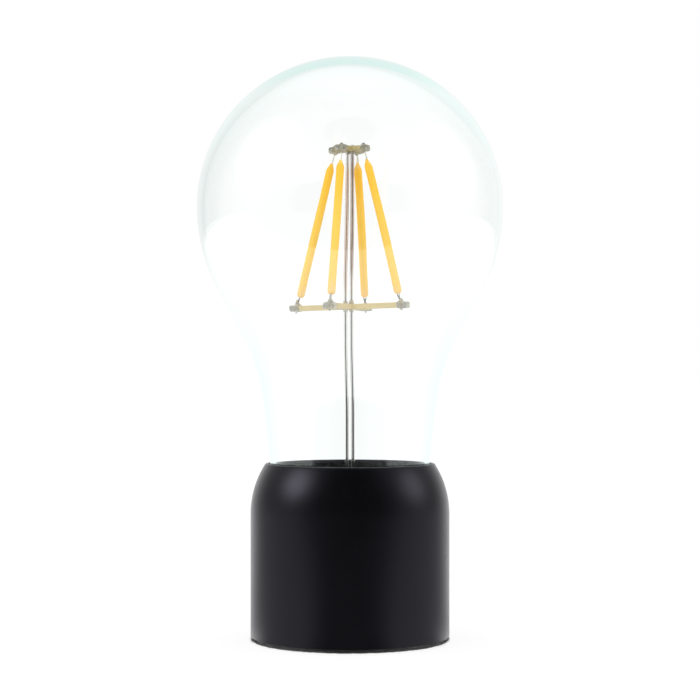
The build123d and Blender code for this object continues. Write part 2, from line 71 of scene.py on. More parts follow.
class Wire:
    """A node's output that takes part in Python sums, each of which adds a Math node."""

    def __init__(self, tree: bpy.types.NodeTree, socket: bpy.types.NodeSocket) -> None:
        """Keep the tree and the output socket."""
        self.tree = tree
        self.socket = socket

    def _math(self, operation: str, first: "Wire | float", second: "Wire | float" = 0.0) -> "Wire":
        """Add one Math node.

        Args:
            operation: The Math node's operation.
            first: Its first value.
            second: Its second value, where the operation has one.

        Returns:
            The result as a wire.
        """
        node = self.tree.nodes.new("ShaderNodeMath")
        node.operation = operation
        plug(self.tree, node.inputs[0], first)
        plug(self.tree, node.inputs[1], second)
        return Wire(self.tree, node.outputs[0])

    def __add__(self, other: "Wire | float") -> "Wire":
        """This value plus another."""
        return self._math("ADD", self, other)

    def __radd__(self, other: float) -> "Wire":
        """A number plus this value."""
        return self._math("ADD", other, self)

    def __sub__(self, other: "Wire | float") -> "Wire":
        """This value less another."""
        return self._math("SUBTRACT", self, other)

    def __rsub__(self, other: float) -> "Wire":
        """A number less this value."""
        return self._math("SUBTRACT", other, self)

    def __mul__(self, other: "Wire | float") -> "Wire":
        """This value times another."""
        return self._math("MULTIPLY", self, other)

    def __rmul__(self, other: float) -> "Wire":
        """A number times this value."""
        return self._math("MULTIPLY", other, self)

    def __truediv__(self, other: "Wire | float") -> "Wire":
        """This value over another."""
        return self._math("DIVIDE", self, other)

    def __pow__(self, other: float) -> "Wire":
        """This value to a power."""
        return self._math("POWER", self, other)

    def __gt__(self, other: "Wire | float") -> "Wire":
        """One where this value is the larger, and zero elsewhere."""
        return self._math("GREATER_THAN", self, other)

    def highest(self, other: "Wire | float") -> "Wire":
        """The larger of this value and another."""
        return self._math("MAXIMUM", self, other)

    def sine(self) -> "Wire":
        """The sine of this value."""
        return self._math("SINE", self)


def plug(tree: bpy.types.NodeTree, socket: bpy.types.NodeSocket, value: object) -> None:
    """Give a socket a link or a value of its own.

    Args:
        tree: The node tree that holds the socket.
        socket: The input socket.
        value: A wire to link, or a plain value to set.
    """
    if isinstance(value, Wire):
        tree.links.new(value.socket, socket)
    else:
        socket.default_value = value


@dataclass
class Painter:
    """Builds the nodes of one material or of the world."""

    tree: bpy.types.NodeTree
    made: bpy.types.Material | None = None

    @classmethod
    def material(cls, name: str) -> "Painter":
        """Start an empty material.

        Args:
            name: The material's name.

        Returns:
            The painter of its nodes.
        """
        made = bpy.data.materials.new(name)
        made.use_nodes = True
        made.node_tree.nodes.clear()
        return cls(made.node_tree, made)

    def node(
        self,
        kind: str,
        values: dict[str | int, object] | None = None,
        settings: dict[str, object] | None = None,
        output: str | int = 0,
    ) -> Wire:
        """Add any node.

        Args:
            kind: The node's type, without its ShaderNode prefix.
            values: The values or links of its sockets, by name or number.
            settings: Its own settings, which are set first.
            output: The output to go on with.

        Returns:
            That output as a wire.
        """
        node = self.tree.nodes.new("ShaderNode" + kind)
        for key, setting in (settings or {}).items():
            setattr(node, key, setting)
        for key, value in (values or {}).items():
            plug(self.tree, node.inputs[key], value)
        return Wire(self.tree, node.outputs[output])

    def path(self, output: str) -> Wire:
        """One of the facts about the ray that is being followed."""
        return self.node("LightPath", output=output)

    def facing(self) -> Wire:
        """Zero where the eye looks straight at the surface, one where it looks along it."""
        return self.node("LayerWeight", {"Blend": 0.5}, output="Facing")

    def place(self, stretch: tuple[float, float, float] = (1.0, 1.0, 1.0)) -> Wire:
        """Read the object's own coordinates.

        Args:
            stretch: How much finer a pattern gets along each axis.

        Returns:
            The coordinates.
        """
        spot = self.node("TexCoord", output="Object")
        if stretch == (1.0, 1.0, 1.0):
            return spot
        return self.node("Mapping", {"Vector": spot, "Scale": stretch})

    def axes(self, spot: Wire) -> tuple[Wire, Wire, Wire]:
        """The three parts of a vector."""
        apart = self.node("SeparateXYZ", {0: spot}).socket.node
        return tuple(Wire(self.tree, output) for output in apart.outputs)

    def noise(self, spot: Wire, grain: float, detail: float = 3.0, rough: float = 0.5) -> Wire:
        """Noise from 0 to 1, its lumps a grain in metres apart, with so many finer layers."""
        values = {"Vector": spot, "Scale": 1 / grain, "Detail": detail, "Roughness": rough}
        return self.node("TexNoise", values)

    def pits(self, spot: Wire, size: float) -> Wire:
        """Round pits of this usual size in metres, zero at each pit's middle."""
        return self.node("TexVoronoi", {"Vector": spot, "Scale": 1 / size}, output="Distance")

    def step(
        self, value: Wire, low: float, high: float, start: float = 0.0, end: float = 1.0
    ) -> Wire:
        """A soft step from start to end while the value goes from low to high."""
        values = {0: value, 1: low, 2: high, 3: start, 4: end}
        return self.node("MapRange", values, {"interpolation_type": "SMOOTHSTEP"})

    def blend(self, share: Wire, first: Wire | Colour, second: Wire | Colour) -> Wire:
        """A mix of two colours by a share."""
        return self.node("Mix", {0: share, 6: first, 7: second}, {"data_type": "RGBA"}, output=2)

    def mix(self, share: Wire, first: Wire, second: Wire) -> Wire:
        """A mix of two shaders by a share."""
        return self.node("MixShader", {0: share, 1: first, 2: second})

    def glow(self, colour: Wire | Colour) -> Wire:
        """A shader that shows a colour as it is."""
        return self.node("Emission", {"Color": colour, "Strength": 1.0})

    def bump(self, height: Wire, depth: float) -> Wire:
        """A bumped normal from a height that goes from 0 to 1 over a depth in metres."""
        return self.node("Bump", {"Height": height, "Distance": depth, "Strength": 1.0})

    def solid(
        self, body: Wire, rough: Wire, normal: Wire, more: dict[str, object] | None = None
    ) -> bpy.types.Material:
        """End the material with a Principled shader, and with more values where it needs them."""
        values = {"Base Color": body, "Roughness": rough, "Normal": normal, **(more or {})}
        return self.finish(self.node("BsdfPrincipled", values))

    def finish(self, shader: Wire, volume: Wire | None = None) -> bpy.types.Material:
        """End the material with any shader.

        Args:
            shader: The surface's shader.
            volume: The shader of what is inside, where there is one.

        Returns:
            The finished material.
        """
        end = self.tree.nodes.new("ShaderNodeOutputMaterial")
        plug(self.tree, end.inputs["Surface"], shader)
        if volume is not None:
            plug(self.tree, end.inputs["Volume"], volume)
        return self.made


# Finishes


@dataclass(frozen=True)
class ClearGlass:
    """Blown clear glass with a faint sea-green cast where the eye looks along it."""

    bend: float = 1.5
    cast: Colour = (0.50, 0.90, 0.82, 1.0)
    cast_per_metre: float = 17.0
    edge: Colour = (0.57, 0.92, 0.84, 1.0)
    crown: float = 118 * MM
    crown_fade: float = 8 * MM
    crown_facing: tuple[float, float] = (0.65, 0.70)
    neck_from: float = 85 * MM
    neck_to: float = 60 * MM
    side_facing: tuple[float, float] = (0.35, 0.68)
    side_cast: float = 0.16
    neck_side_cast: float = 0.26
    neck_cast: float = 0.14
    glue_top: float = 39.3 * MM
    glue_fade: float = 0.4 * MM
    glue_share: float = 0.7
    wave: float = 26 * MM
    wave_depth: float = 0.02 * MM
    painted_wall_glow: Colour = (0.95, 1.0, 0.99, 1.0)
    passed: Colour = (0.97, 0.985, 0.98, 1.0)

    def tint(self, paint: Painter, height: Wire) -> Wire:
        """Work out how much the edge colour shows: most at the crown's rim.

        Args:
            paint: The material's painter.
            height: The height above the foot.

        Returns:
            The share, from 0 to 1.
        """
        along = paint.facing()
        crown = paint.step(height, self.crown, self.crown + self.crown_fade)
        crown = crown * paint.step(along, *self.crown_facing)
        neck = paint.step(height, self.neck_from, self.neck_to)
        side = paint.step(along, *self.side_facing) * (neck * self.neck_side_cast + self.side_cast)
        return crown.highest(side + neck * self.neck_cast)

    def material(self) -> bpy.types.Material:
        """Paint the glass: tinted on the near wall, and without a mirror in the far one.

        Returns:
            The material.
        """
        paint = Painter.material("clear_glass")
        height = paint.axes(paint.place())[2]
        waves = paint.noise(paint.place((1.0, 1.0, 0.5)), self.wave, 0.0)
        normal = paint.bump(waves, self.wave_depth)
        bent = {"Roughness": 0.0, "IOR": self.bend, "Normal": normal}
        # The depth is 0 on the surface that the eye meets and 2 on the far wall's inside
        depth = paint.path("Transmission Depth")
        near = 1 - (depth > 0.5)
        far = (depth > 1.5) * (1 - (depth > 2.5))
        body = paint.blend(self.tint(paint, height) * near, WHITE, self.edge)
        clear = {"Base Color": body, "Transmission Weight": 1.0, **bent}
        glass = paint.node("BsdfPrincipled", clear)
        glass = paint.mix(far, glass, paint.node("BsdfRefraction", bent))
        # A ray that keeps bouncing in the wall ends in a painted pale glow instead of black
        glass = paint.mix(paint.path("Glossy Depth") > 2.5, glass, paint.glow(self.painted_wall_glow))
        low = self.glue_top - self.glue_fade
        bonded = paint.step(height, self.glue_top, low, 0.0, self.glue_share)
        open_way = paint.node("BsdfTransparent", {"Color": self.passed})
        shader = paint.mix(paint.path("Is Shadow Ray").highest(bonded), glass, open_way)
        stain = {"Color": self.cast, "Density": self.cast_per_metre}
        return paint.finish(shader, paint.node("VolumeAbsorption", stain))


@dataclass(frozen=True)
class BlackPlastic:
    """Moulded black plastic with a fine spark-eroded grain."""

    name: str
    colour: Colour
    gloss: float
    grain: float = 0.09 * MM
    grain_depth: float = 0.004 * MM
    cloud: float = 7 * MM
    rub: float = 0.5 * MM
    fleck: float = 0.8 * MM
    dust: float = 0.0
    dust_tone: Colour = tone(120, 120, 122)
    mirror: Colour = WHITE

    def material(self) -> bpy.types.Material:
        """Paint the plastic.

        Returns:
            The material.
        """
        paint = Painter.material(self.name)
        spot = paint.place()
        cloud = paint.noise(spot, self.cloud, 4.0, 0.6)
        grain = paint.noise(spot, self.grain, 2.0)
        rubbed = paint.noise(paint.place((1.0, 1.0, 0.12)), self.rub, 3.0, 0.7)
        flecks = paint.noise(spot, self.fleck, 1.0) > 0.765
        pale = tuple(min(1.0, part * 1.7 + 0.0006) for part in self.colour[:3]) + (1.0,)
        body = paint.blend(cloud, self.colour, pale)
        body = paint.blend(flecks * self.dust, body, self.dust_tone)
        shine = self.gloss + (cloud - 0.5) * 0.07 + (rubbed - 0.5) * 0.05 + flecks * 0.2
        normal = paint.bump(grain + (cloud - 0.5) * 0.6, self.grain_depth)
        return paint.solid(body, shine, normal, {"IOR": 1.5, "Specular Tint": self.mirror})


@dataclass(frozen=True)
class BlackFelt:
    """Matted black felt, a little dusty, with a painted pale sheen where the eye looks along it."""

    colour: Colour = (0.006, 0.006, 0.0065, 1.0)
    dust: Colour = (0.05, 0.052, 0.056, 1.0)
    painted_sheen: Colour = (0.16, 0.16, 0.165, 1.0)
    sheen_facing: tuple[float, float] = (0.7, 0.96)
    tangle: float = 0.22 * MM
    patch: float = 3.5 * MM
    depth: float = 0.12 * MM
    strands: float = 900.0

    def material(self) -> bpy.types.Material:
        """Paint the felt.

        Returns:
            The material.
        """
        paint = Painter.material("black_felt")
        spot = paint.place((1.0, 1.0, 2.5))
        tangle = paint.noise(spot, self.tangle, 6.0, 0.75)
        patches = paint.noise(spot, self.patch, 3.0)
        wave = {"Vector": spot, "Scale": self.strands, "Distortion": 30.0}
        strands = paint.node("TexWave", {**wave, "Detail": 3.0, "Detail Scale": 2.0})
        share = paint.step(tangle * 0.6 + strands * 0.25 + patches * 0.3, 0.45, 0.85)
        body = paint.blend(share, self.colour, self.dust)
        # Painted sheen: the base colour turns pale grey where the eye looks along the felt
        body = paint.blend(paint.step(paint.facing(), *self.sheen_facing), body, self.painted_sheen)
        normal = paint.bump(tangle + strands * 0.5, self.depth)
        sheen = {"Sheen Weight": 0.7, "Sheen Roughness": 0.35}
        return paint.solid(body, 0.9 + patches * 0.1, normal, sheen)


@dataclass(frozen=True)
class CloudyGlue:
    """Cured glue with clouds and trapped air over the black wall behind it."""

    clear: Colour = tone(26, 26, 28)
    cloudy_and_reflected: Colour = tone(76, 78, 78)
    cloud: float = 6 * MM
    bubble: float = 0.7 * MM
    depth: float = 0.08 * MM
    middle: float = 4 * MM
    aside: float = 13 * MM

    def material(self) -> bpy.types.Material:
        """Paint the glue with clouds, paler towards the left and right sides by a painted
        reflection.

        Returns:
            The material.
        """
        paint = Painter.material("cloudy_glue")
        spot = paint.place()
        clouds = paint.noise(spot, self.cloud, 5.0, 0.65)
        bubbles = paint.pits(spot, self.bubble)
        x = paint.axes(spot)[0]
        # Painted reflection: the pale cloudy tone is strengthened towards the left and right sides,
        # where the ring is seen edge-on
        aside = paint.step(x * x, self.middle**2, self.aside**2, 0.4, 1.0)
        share = paint.step(clouds + (0.35 - bubbles) * 0.18, 0.38, 0.68) * aside
        body = paint.blend(share, self.clear, self.cloudy_and_reflected)
        normal = paint.bump(clouds + bubbles * 0.3, self.depth)
        return paint.solid(body, 0.22 + share * 0.3, normal, {"IOR": 1.3})


@dataclass(frozen=True)
class Metal:
    """A bare metal with drawn lines, spots and a change of tint."""

    name: str
    colour: Colour
    tarnish: Colour
    gloss: float
    stretch: tuple[float, float, float] = (1.0, 1.0, 1.0)
    line: float = 0.12 * MM
    line_depth: float = 0.002 * MM
    spot: float = 1.2 * MM
    spot_share: float = 0.5
    metallic: float = 1.0

    def material(self) -> bpy.types.Material:
        """Paint the metal.

        Returns:
            The material.
        """
        paint = Painter.material(self.name)
        cloud = paint.noise(paint.place(), self.spot, 4.0, 0.6)
        lines = paint.noise(paint.place(self.stretch), self.line, 3.0, 0.6)
        share = paint.step(cloud, 0.38, 0.72, 0.0, self.spot_share)
        body = paint.blend(share, self.colour, self.tarnish)
        rough = self.gloss + share * 0.16 + (lines - 0.5) * 0.08
        normal = paint.bump(lines, self.line_depth)
        return paint.solid(body, rough, normal, {"Metallic": self.metallic})


@dataclass(frozen=True)
class PolishedRod:
    """Polished steel, with a painted brownish reflection of the filaments between the two boards.
    """

    name: str
    steel: Colour
    filament_reflection: Colour
    reflection_from: float
    reflection_to: float
    reflection_fade: float = 4 * MM
    end_fade: float = 2 * MM
    line: float = 0.08 * MM
    line_depth: float = 0.0015 * MM
    cloud: float = 2.2 * MM

    def material(self) -> bpy.types.Material:
        """Paint the rod.

        Returns:
            The material.
        """
        paint = Painter.material(self.name)
        height = paint.axes(paint.place())[2]
        lines = paint.noise(paint.place((1.0, 1.0, 0.02)), self.line, 3.0)
        cloud = paint.noise(paint.place((1.0, 1.0, 0.25)), self.cloud, 3.0, 0.6)
        # Painted reflection: between the boards the steel is tinted brown, as if it mirrored the
        # filaments
        reflection_zone = paint.step(height, self.reflection_from, self.reflection_from + self.reflection_fade)
        reflection_zone = reflection_zone * paint.step(height, self.reflection_to - self.end_fade, self.reflection_to, 1.0, 0.25)
        share = reflection_zone * paint.step(cloud, 0.25, 0.75, 0.45, 1.0)
        body = paint.blend(share, self.steel, self.filament_reflection)
        rough = 0.05 + cloud * 0.04 + lines * 0.02
        return paint.solid(body, rough, paint.bump(lines, self.line_depth), {"Metallic": 1.0})


@dataclass(frozen=True)
class Solder:
    """Dull lead-free solder with grey grains, small pits and brown flux."""

    bright: Colour = tone(240, 237, 226)
    dull: Colour = tone(204, 200, 186)
    flux: Colour = tone(190, 176, 140)
    burnt: Colour = tone(158, 155, 132)
    burnt_from: float = 100 * MM
    burnt_fade: float = 5 * MM
    cloud: float = 0.7 * MM
    grain: float = 0.12 * MM
    pit: float = 0.5 * MM
    stain: float = 1.3 * MM
    depth: float = 0.03 * MM

    def material(self) -> bpy.types.Material:
        """Paint the solder, burnt on the upper board.

        Returns:
            The material.
        """
        paint = Painter.material("dull_solder")
        spot = paint.place()
        cloud = paint.noise(spot, self.cloud, 4.0, 0.65)
        grain = paint.noise(spot, self.grain, 2.0)
        share = paint.step(cloud * 0.8 + grain * 0.2, 0.36, 0.66)
        body = paint.blend(share, self.bright, self.dull)
        high = paint.step(paint.axes(spot)[2], self.burnt_from, self.burnt_from + self.burnt_fade)
        body = paint.blend(high * paint.step(cloud, 0.35, 0.65, 0.3, 0.9), body, self.burnt)
        stain = paint.step(paint.noise(spot, self.stain, 2.0), 0.52, 0.66, 0.0, 0.6)
        body = paint.blend(stain, body, self.flux)
        relief = cloud + grain * 0.4 + paint.pits(spot, self.pit) * 0.5
        metallic = {"Metallic": 0.75 - stain * 0.6}
        return paint.solid(body, 0.38 + share * 0.2, paint.bump(relief, self.depth), metallic)


@dataclass(frozen=True)
class GlassLaminate:
    """Glass cloth and resin, with the weave under the faces and plies on the edges."""

    name: str
    resin: Colour
    cloth: Colour
    edge: Colour
    flux: Colour
    flux_from: float = 100 * MM
    flux_fade: float = 5 * MM
    weave: float = 0.42 * MM
    ply: float = 0.18 * MM
    cloud: float = 1.6 * MM
    fray: float = 0.15 * MM
    depth: float = 0.012 * MM
    gloss: float = 0.42

    def material(self) -> bpy.types.Material:
        """Paint the laminate, stained by flux on the upper board.

        Returns:
            The material.
        """
        paint = Painter.material(self.name)
        spot = paint.place()
        x, y, z = paint.axes(spot)
        turns = 2 * math.pi / self.weave
        weave = (x * turns).sine() * (y * turns).sine() * 0.5 + 0.5
        plies = (z * (2 * math.pi / self.ply)).sine()
        upright = paint.axes(paint.node("NewGeometry", output="Normal"))[2]
        flat = paint.step(upright * upright, 0.3, 0.7)
        cloud = paint.noise(spot, self.cloud, 4.0, 0.6)
        frayed = paint.noise(paint.place((1.0, 1.0, 0.2)), self.fray, 3.0, 0.7)
        face = paint.blend(weave * 0.35 + cloud * 0.4, self.resin, self.cloth)
        side = paint.blend(plies * 0.2 + frayed * 0.6, self.edge, self.resin)
        stain = paint.step(z, self.flux_from, self.flux_from + self.flux_fade)
        stain = stain * paint.step(cloud, 0.3, 0.6, 0.35, 0.95)
        body = paint.blend(stain, paint.blend(flat, side, face), self.flux)
        rough = self.gloss + (1 - flat) * 0.3 + (cloud - 0.5) * 0.1
        relief = weave * flat + (frayed + plies * 0.3) * (1 - flat)
        return paint.solid(body, rough, paint.bump(relief, self.depth))


@dataclass(frozen=True)
class Phosphor:
    """Yellow silicone round a filament's strip, deep at the top and paler below."""

    top: Colour = tone(255, 200, 60)
    middle: Colour = tone(255, 211, 94)
    bottom: Colour = tone(255, 215, 118)
    blunt_end: Colour = tone(255, 214, 144)
    slim_end: Colour = tone(255, 214, 124)
    speck: Colour = tone(244, 176, 52)
    glow: float = 0.1
    top_height: float = 107.2 * MM
    bottom_height: float = 76.9 * MM
    streak: float = 1.1 * MM
    grain: float = 0.06 * MM
    depth: float = 0.05 * MM

    def material(self) -> bpy.types.Material:
        """Paint the phosphor, with a faint painted glow in its own colour that lightens its shaded
        sides.

        Returns:
            The material.
        """
        paint = Painter.material("phosphor_silicone")
        spot = paint.place()
        height = paint.axes(spot)[2]
        rise = self.top_height - self.bottom_height
        streaks = paint.noise(paint.place((1.0, 1.0, 0.18)), self.streak, 3.0, 0.6)
        grain = paint.noise(spot, self.grain, 2.0)
        level = (height - self.bottom_height) / rise + (streaks - 0.5) * 0.25
        body = paint.blend(paint.step(level, 0.0, 0.10), self.blunt_end, self.bottom)
        body = paint.blend(paint.step(level, 0.10, 0.5), body, self.middle)
        body = paint.blend(paint.step(level, 0.45, 0.95), body, self.top)
        body = paint.blend(grain * 0.12, body, self.speck)
        body = paint.blend(paint.step(level, 0.94, 1.03), body, self.slim_end)
        rough = 0.46 + (streaks - 0.5) * 0.16
        normal = paint.bump(streaks + grain * 0.15, self.depth)
        silicone = {"IOR": 1.41, "Specular IOR Level": 0.2}
        # Painted glow: the phosphor emits a little of its own colour, so its shaded sides look lit
        shine = {"Emission Color": body, "Emission Strength": self.glow}
        return paint.solid(body, rough, normal, {**silicone, **shine})


@dataclass(frozen=True)
class CopperWinding:
    """Enamelled copper wire wound in flat rings, with painted shade in the grooves between the
    turns.
    """

    wire: float = 0.34 * MM
    depth: float = 0.12 * MM
    glaze: float = 1.5 * MM
    groove_shade: Colour = tone(92, 44, 22)
    crest: Colour = tone(206, 122, 70)

    def material(self) -> bpy.types.Material:
        """Paint the winding.

        Returns:
            The material.
        """
        paint = Painter.material("copper_winding")
        spot = paint.place()
        x, y, _ = paint.axes(spot)
        turn = ((x * x + y * y) ** 0.5 * (math.pi / self.wire)).sine()
        crest = turn * turn
        # Painted shade: the colour darkens from the crest of each turn into the groove between
        # turns
        body = paint.blend(crest * 0.8, self.groove_shade, self.crest)
        rough = 0.2 + paint.noise(spot, self.glaze, 3.0) * 0.2
        return paint.solid(body, rough, paint.bump(crest, self.depth), {"Metallic": 0.85})


@dataclass(frozen=True)
class Speckled:
    """A dense sintered or moulded body with fine specks."""

    name: str
    colour: Colour
    speck: Colour
    gloss: float
    grain: float = 0.25 * MM
    cloud: float = 4 * MM
    depth: float = 0.01 * MM

    def material(self) -> bpy.types.Material:
        """Paint the body.

        Returns:
            The material.
        """
        paint = Painter.material(self.name)
        spot = paint.place()
        grain = paint.noise(spot, self.grain, 4.0, 0.7)
        cloud = paint.noise(spot, self.cloud, 2.0)
        body = paint.blend(paint.step(grain, 0.5, 0.75), self.colour, self.speck)
        rough = self.gloss + (cloud - 0.5) * 0.15
        return paint.solid(body, rough, paint.bump(grain, self.depth))


SATIN_BLACK: Colour = (0.0024, 0.0022, 0.0030, 1.0)
SATIN_MIRROR: Colour = (0.98, 0.94, 1.18, 1.0)
LACQUER_GREEN = tone(18, 70, 42)


class Finish(Enum):
    """The finishes of the lamp, each named after what it is in the record."""

    GLASS = ("glass_clear", ClearGlass())
    SHELL = (
        "black_shell",
        BlackPlastic("satin_shell", SATIN_BLACK, 0.33, dust=0.03, mirror=SATIN_MIRROR),
    )
    MOULDING = ("black_moulding", BlackPlastic("black_moulding", tone(24, 24, 25), 0.5, 0.2 * MM))
    FELT = ("felt_black", BlackFelt())
    GLUE = ("clear_glue", CloudyGlue())
    COPPER = ("copper_wire", CopperWinding())
    FERRITE = ("ferrite", Speckled("ferrite", tone(52, 52, 55), tone(92, 92, 96), 0.55))
    NICKEL = ("nickel_plate", Metal("nickel_plate", tone(206, 202, 194), tone(160, 152, 140), 0.14))
    ROD_LEFT = (
        "rod_steel",
        PolishedRod("rod_steel_left", tone(243, 241, 238), tone(232, 216, 210), 76 * MM, 106 * MM),
    )
    ROD_RIGHT = (
        "rod_steel",
        PolishedRod("rod_steel_right", tone(240, 238, 236), tone(200, 185, 178), 80 * MM, 110 * MM),
    )
    LEAD = (
        "lead_metal",
        Metal("lead_metal", tone(196, 196, 192), tone(140, 138, 132), 0.26, (1.0, 1.0, 0.1)),
    )
    COATED_LEAD = (
        "lead_metal",
        Metal("lead_metal_coated", tone(240, 236, 220), tone(222, 214, 186), 0.42, metallic=0.2),
    )
    BOARD = (
        "board_tan",
        GlassLaminate(
            "bare_laminate",
            resin=tone(212, 194, 144),
            cloth=tone(230, 214, 170),
            edge=tone(234, 214, 164),
            flux=tone(166, 152, 98),
        ),
    )
    DRIVER = (
        "board_green",
        GlassLaminate(
            "green_laminate",
            resin=LACQUER_GREEN,
            cloth=tone(30, 92, 56),
            edge=tone(178, 164, 110),
            flux=LACQUER_GREEN,
        ),
    )
    SOLDER = ("solder", Solder())
    PHOSPHOR = ("phosphor", Phosphor())
    CHIP = (
        "component_black",
        Speckled("component_black", tone(34, 34, 36), tone(58, 58, 60), 0.48),
    )
    CAN = ("can_metal", Metal("can_metal", tone(198, 199, 201), tone(150, 152, 156), 0.3))
    CERAMIC = (
        "chip_ceramic",
        Speckled("chip_ceramic", tone(166, 138, 104), tone(190, 164, 128), 0.4),
    )

    @property
    def slot(self) -> str:
        """The record's name of the finish."""
        return self.value[0]

    def paint(self) -> bpy.types.Material:
        """Make the finish's material once and hand it out from then on.

        Returns:
            The material.
        """
        if self.name not in MADE:
            MADE[self.name] = self.value[1].material()
        return MADE[self.name]


MADE: dict[str, bpy.types.Material] = {}


# Shaping tools


class Pen:
    """Draws a half section in the XZ plane and turns it about the Z axis."""

    def __init__(self, radius: float, height: float) -> None:
        """Put the pen down, facing outwards.

        Args:
            radius: The start's distance from the axis.
            height: The start's height.
        """
        self.bm = bmesh.new()
        self.tip = self.bm.verts.new((radius, 0, height))
        self.start = self.tip
        self.heading = Vector((1, 0, 0))

    def to(self, radius: float, height: float) -> "Pen":
        """Draw a straight line to a point.

        Args:
            radius: The point's distance from the axis.
            height: The point's height.

        Returns:
            The pen.
        """
        here = self.tip.co.copy()
        self.tip = bmesh.ops.extrude_vert_indiv(self.bm, verts=[self.tip])["verts"][0]
        self.tip.co = (radius, 0, height)
        self.heading = (self.tip.co - here).normalized()
        return self

    def through(self, *points: tuple[float, float]) -> "Pen":
        """Draw straight lines from point to point.

        Args:
            points: Each point's distance from the axis and height.

        Returns:
            The pen.
        """
        for radius, height in points:
            self.to(radius, height)
        return self

    def run(self, length: float) -> "Pen":
        """Draw a straight line ahead."""
        goal = self.tip.co + self.heading * length
        return self.to(goal.x, goal.z)

    def bend(self, radius: float, angle: float, steps: int) -> "Pen":
        """Draw an arc.

        Args:
            radius: The arc's radius.
            angle: How far it turns, in radians, positive to the right.
            steps: How many pieces it has.

        Returns:
            The pen.
        """
        side = math.copysign(1.0, angle)
        centre = self.tip.co + Vector((self.heading.z, 0, -self.heading.x)) * side * radius
        made = bmesh.ops.spin(
            self.bm, geom=[self.tip], cent=centre, axis=(0, 1, 0), angle=angle, steps=steps
        )
        self.tip = next(e for e in made["geom_last"] if isinstance(e, bmesh.types.BMVert))
        self.heading = Quaternion((0, 1, 0), angle) @ self.heading
        return self

    def close(self) -> "Pen":
        """Join the pen's tip to its start."""
        self.bm.edges.new((self.tip, self.start))
        return self

    def turn(self, steps: int) -> bmesh.types.BMesh:
        """Turn the section about the Z axis.

        Args:
            steps: How many steps a full turn has.

        Returns:
            The turned mesh, closed at its poles, with its faces outwards.
        """
        bmesh.ops.spin(
            self.bm,
            geom=self.bm.verts[:] + self.bm.edges[:],
            cent=(0, 0, 0),
            axis=(0, 0, 1),
            angle=2 * math.pi,
            steps=steps,
            use_merge=True,
        )
        return cleaned(self.bm)


def cleaned(bm: bmesh.types.BMesh) -> bmesh.types.BMesh:
    """Close a mesh's seams and turn its faces outwards.

    Args:
        bm: The mesh.

    Returns:
        The same mesh.
    """
    bmesh.ops.remove_doubles(bm, verts=bm.verts, dist=MERGE)
    bmesh.ops.recalc_face_normals(bm, faces=bm.faces)
    return bm


def moved(bm: bmesh.types.BMesh, matrix: Matrix) -> bmesh.types.BMesh:
    """A mesh put in its place by a matrix."""
    bmesh.ops.transform(bm, matrix=matrix, space=Matrix.Identity(4), verts=bm.verts)
    return bm


def meshed(name: str, bm: bmesh.types.BMesh) -> bpy.types.Mesh:
    """Make a mesh of a shape.

    Args:
        name: The mesh's name.
        bm: The shape, which is used up.

    Returns:
        The mesh.
    """
    mesh = bpy.data.meshes.new(name)
    bm.to_mesh(mesh)
    bm.free()
    return mesh


def linked(name: str, data: bpy.types.ID) -> bpy.types.Object:
    """Put a mesh, curve, lamp or camera in the scene.

    Args:
        name: The object's name.
        data: What it holds.

    Returns:
        The object.
    """
    made = bpy.data.objects.new(name, data)
    bpy.context.scene.collection.objects.link(made)
    return made


def joined(parts: list[bmesh.types.BMesh]) -> bmesh.types.BMesh:
    """Hold several shapes as one, without merging them.

    Args:
        parts: The shapes, which are used up.

    Returns:
        The whole.
    """
    whole = bmesh.new()
    for part in parts:
        held = meshed("held", part)
        whole.from_mesh(held)
        bpy.data.meshes.remove(held)
    return whole


def shaded(mesh: bpy.types.Mesh, crease: float) -> None:
    """Shade a mesh smooth, but for edges past this angle in degrees."""
    mesh.shade_smooth()
    mesh.set_sharp_from_angle(angle=math.radians(crease))


def piece(
    name: str,
    bm: bmesh.types.BMesh,
    finish: Finish,
    nodes: tuple[str, ...],
    crease: float = 35.0,
) -> bpy.types.Object:
    """Make a finished object of a shape.

    Args:
        name: The piece's name.
        bm: Its shape, which is used up.
        finish: Its finish.
        nodes: The CAD nodes that it stands for.
        crease: The angle in degrees past which an edge shades sharp.

    Returns:
        The object, which rides on the lamp's body.
    """
    mesh = meshed(name, bm)
    shaded(mesh, crease)
    mesh.materials.append(finish.paint())
    made = linked(name, mesh)
    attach(made, "root")
    if nodes:
        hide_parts(*nodes)
    log.info("%s: %d faces", name, len(mesh.polygons))
    return made


def wires(routes: list[list[tuple[Vector, float]]], radius: float, sides: int) -> bmesh.types.BMesh:
    """Draw round wires as curves and make them one shape.

    Args:
        routes: For each wire its points, each with its share of the radius.
        radius: The wires' radius.
        sides: How many steps a quarter of their girth has, beyond the first.

    Returns:
        The shape, closed at the wires' ends.
    """
    curve = bpy.data.curves.new("wires", "CURVE")
    curve.dimensions = "3D"
    curve.bevel_depth = radius
    curve.bevel_resolution = sides
    curve.use_fill_caps = True
    for route in routes:
        spline = curve.splines.new("POLY")
        spline.points.add(len(route) - 1)
        for point, (spot, share) in zip(spline.points, route):
            point.co = (*spot, 1.0)
            point.radius = share
    drawn = linked("wires_drawn", curve)
    graph = bpy.context.evaluated_depsgraph_get()
    mesh = bpy.data.meshes.new_from_object(drawn.evaluated_get(graph))
    bpy.data.objects.remove(drawn)
    bm = bmesh.new()
    bm.from_mesh(mesh)
    bpy.data.meshes.remove(mesh)
    return cleaned(bm)


def modified(made: bpy.types.Object, kind: str, **settings: object) -> bpy.types.Object:
    """Add a modifier.

    Args:
        made: The object.
        kind: The modifier's type.
        settings: Its settings.

    Returns:
        The same object.
    """
    modifier = made.modifiers.new(kind.lower(), kind)
    for key, value in settings.items():
        setattr(modifier, key, value)
    return made


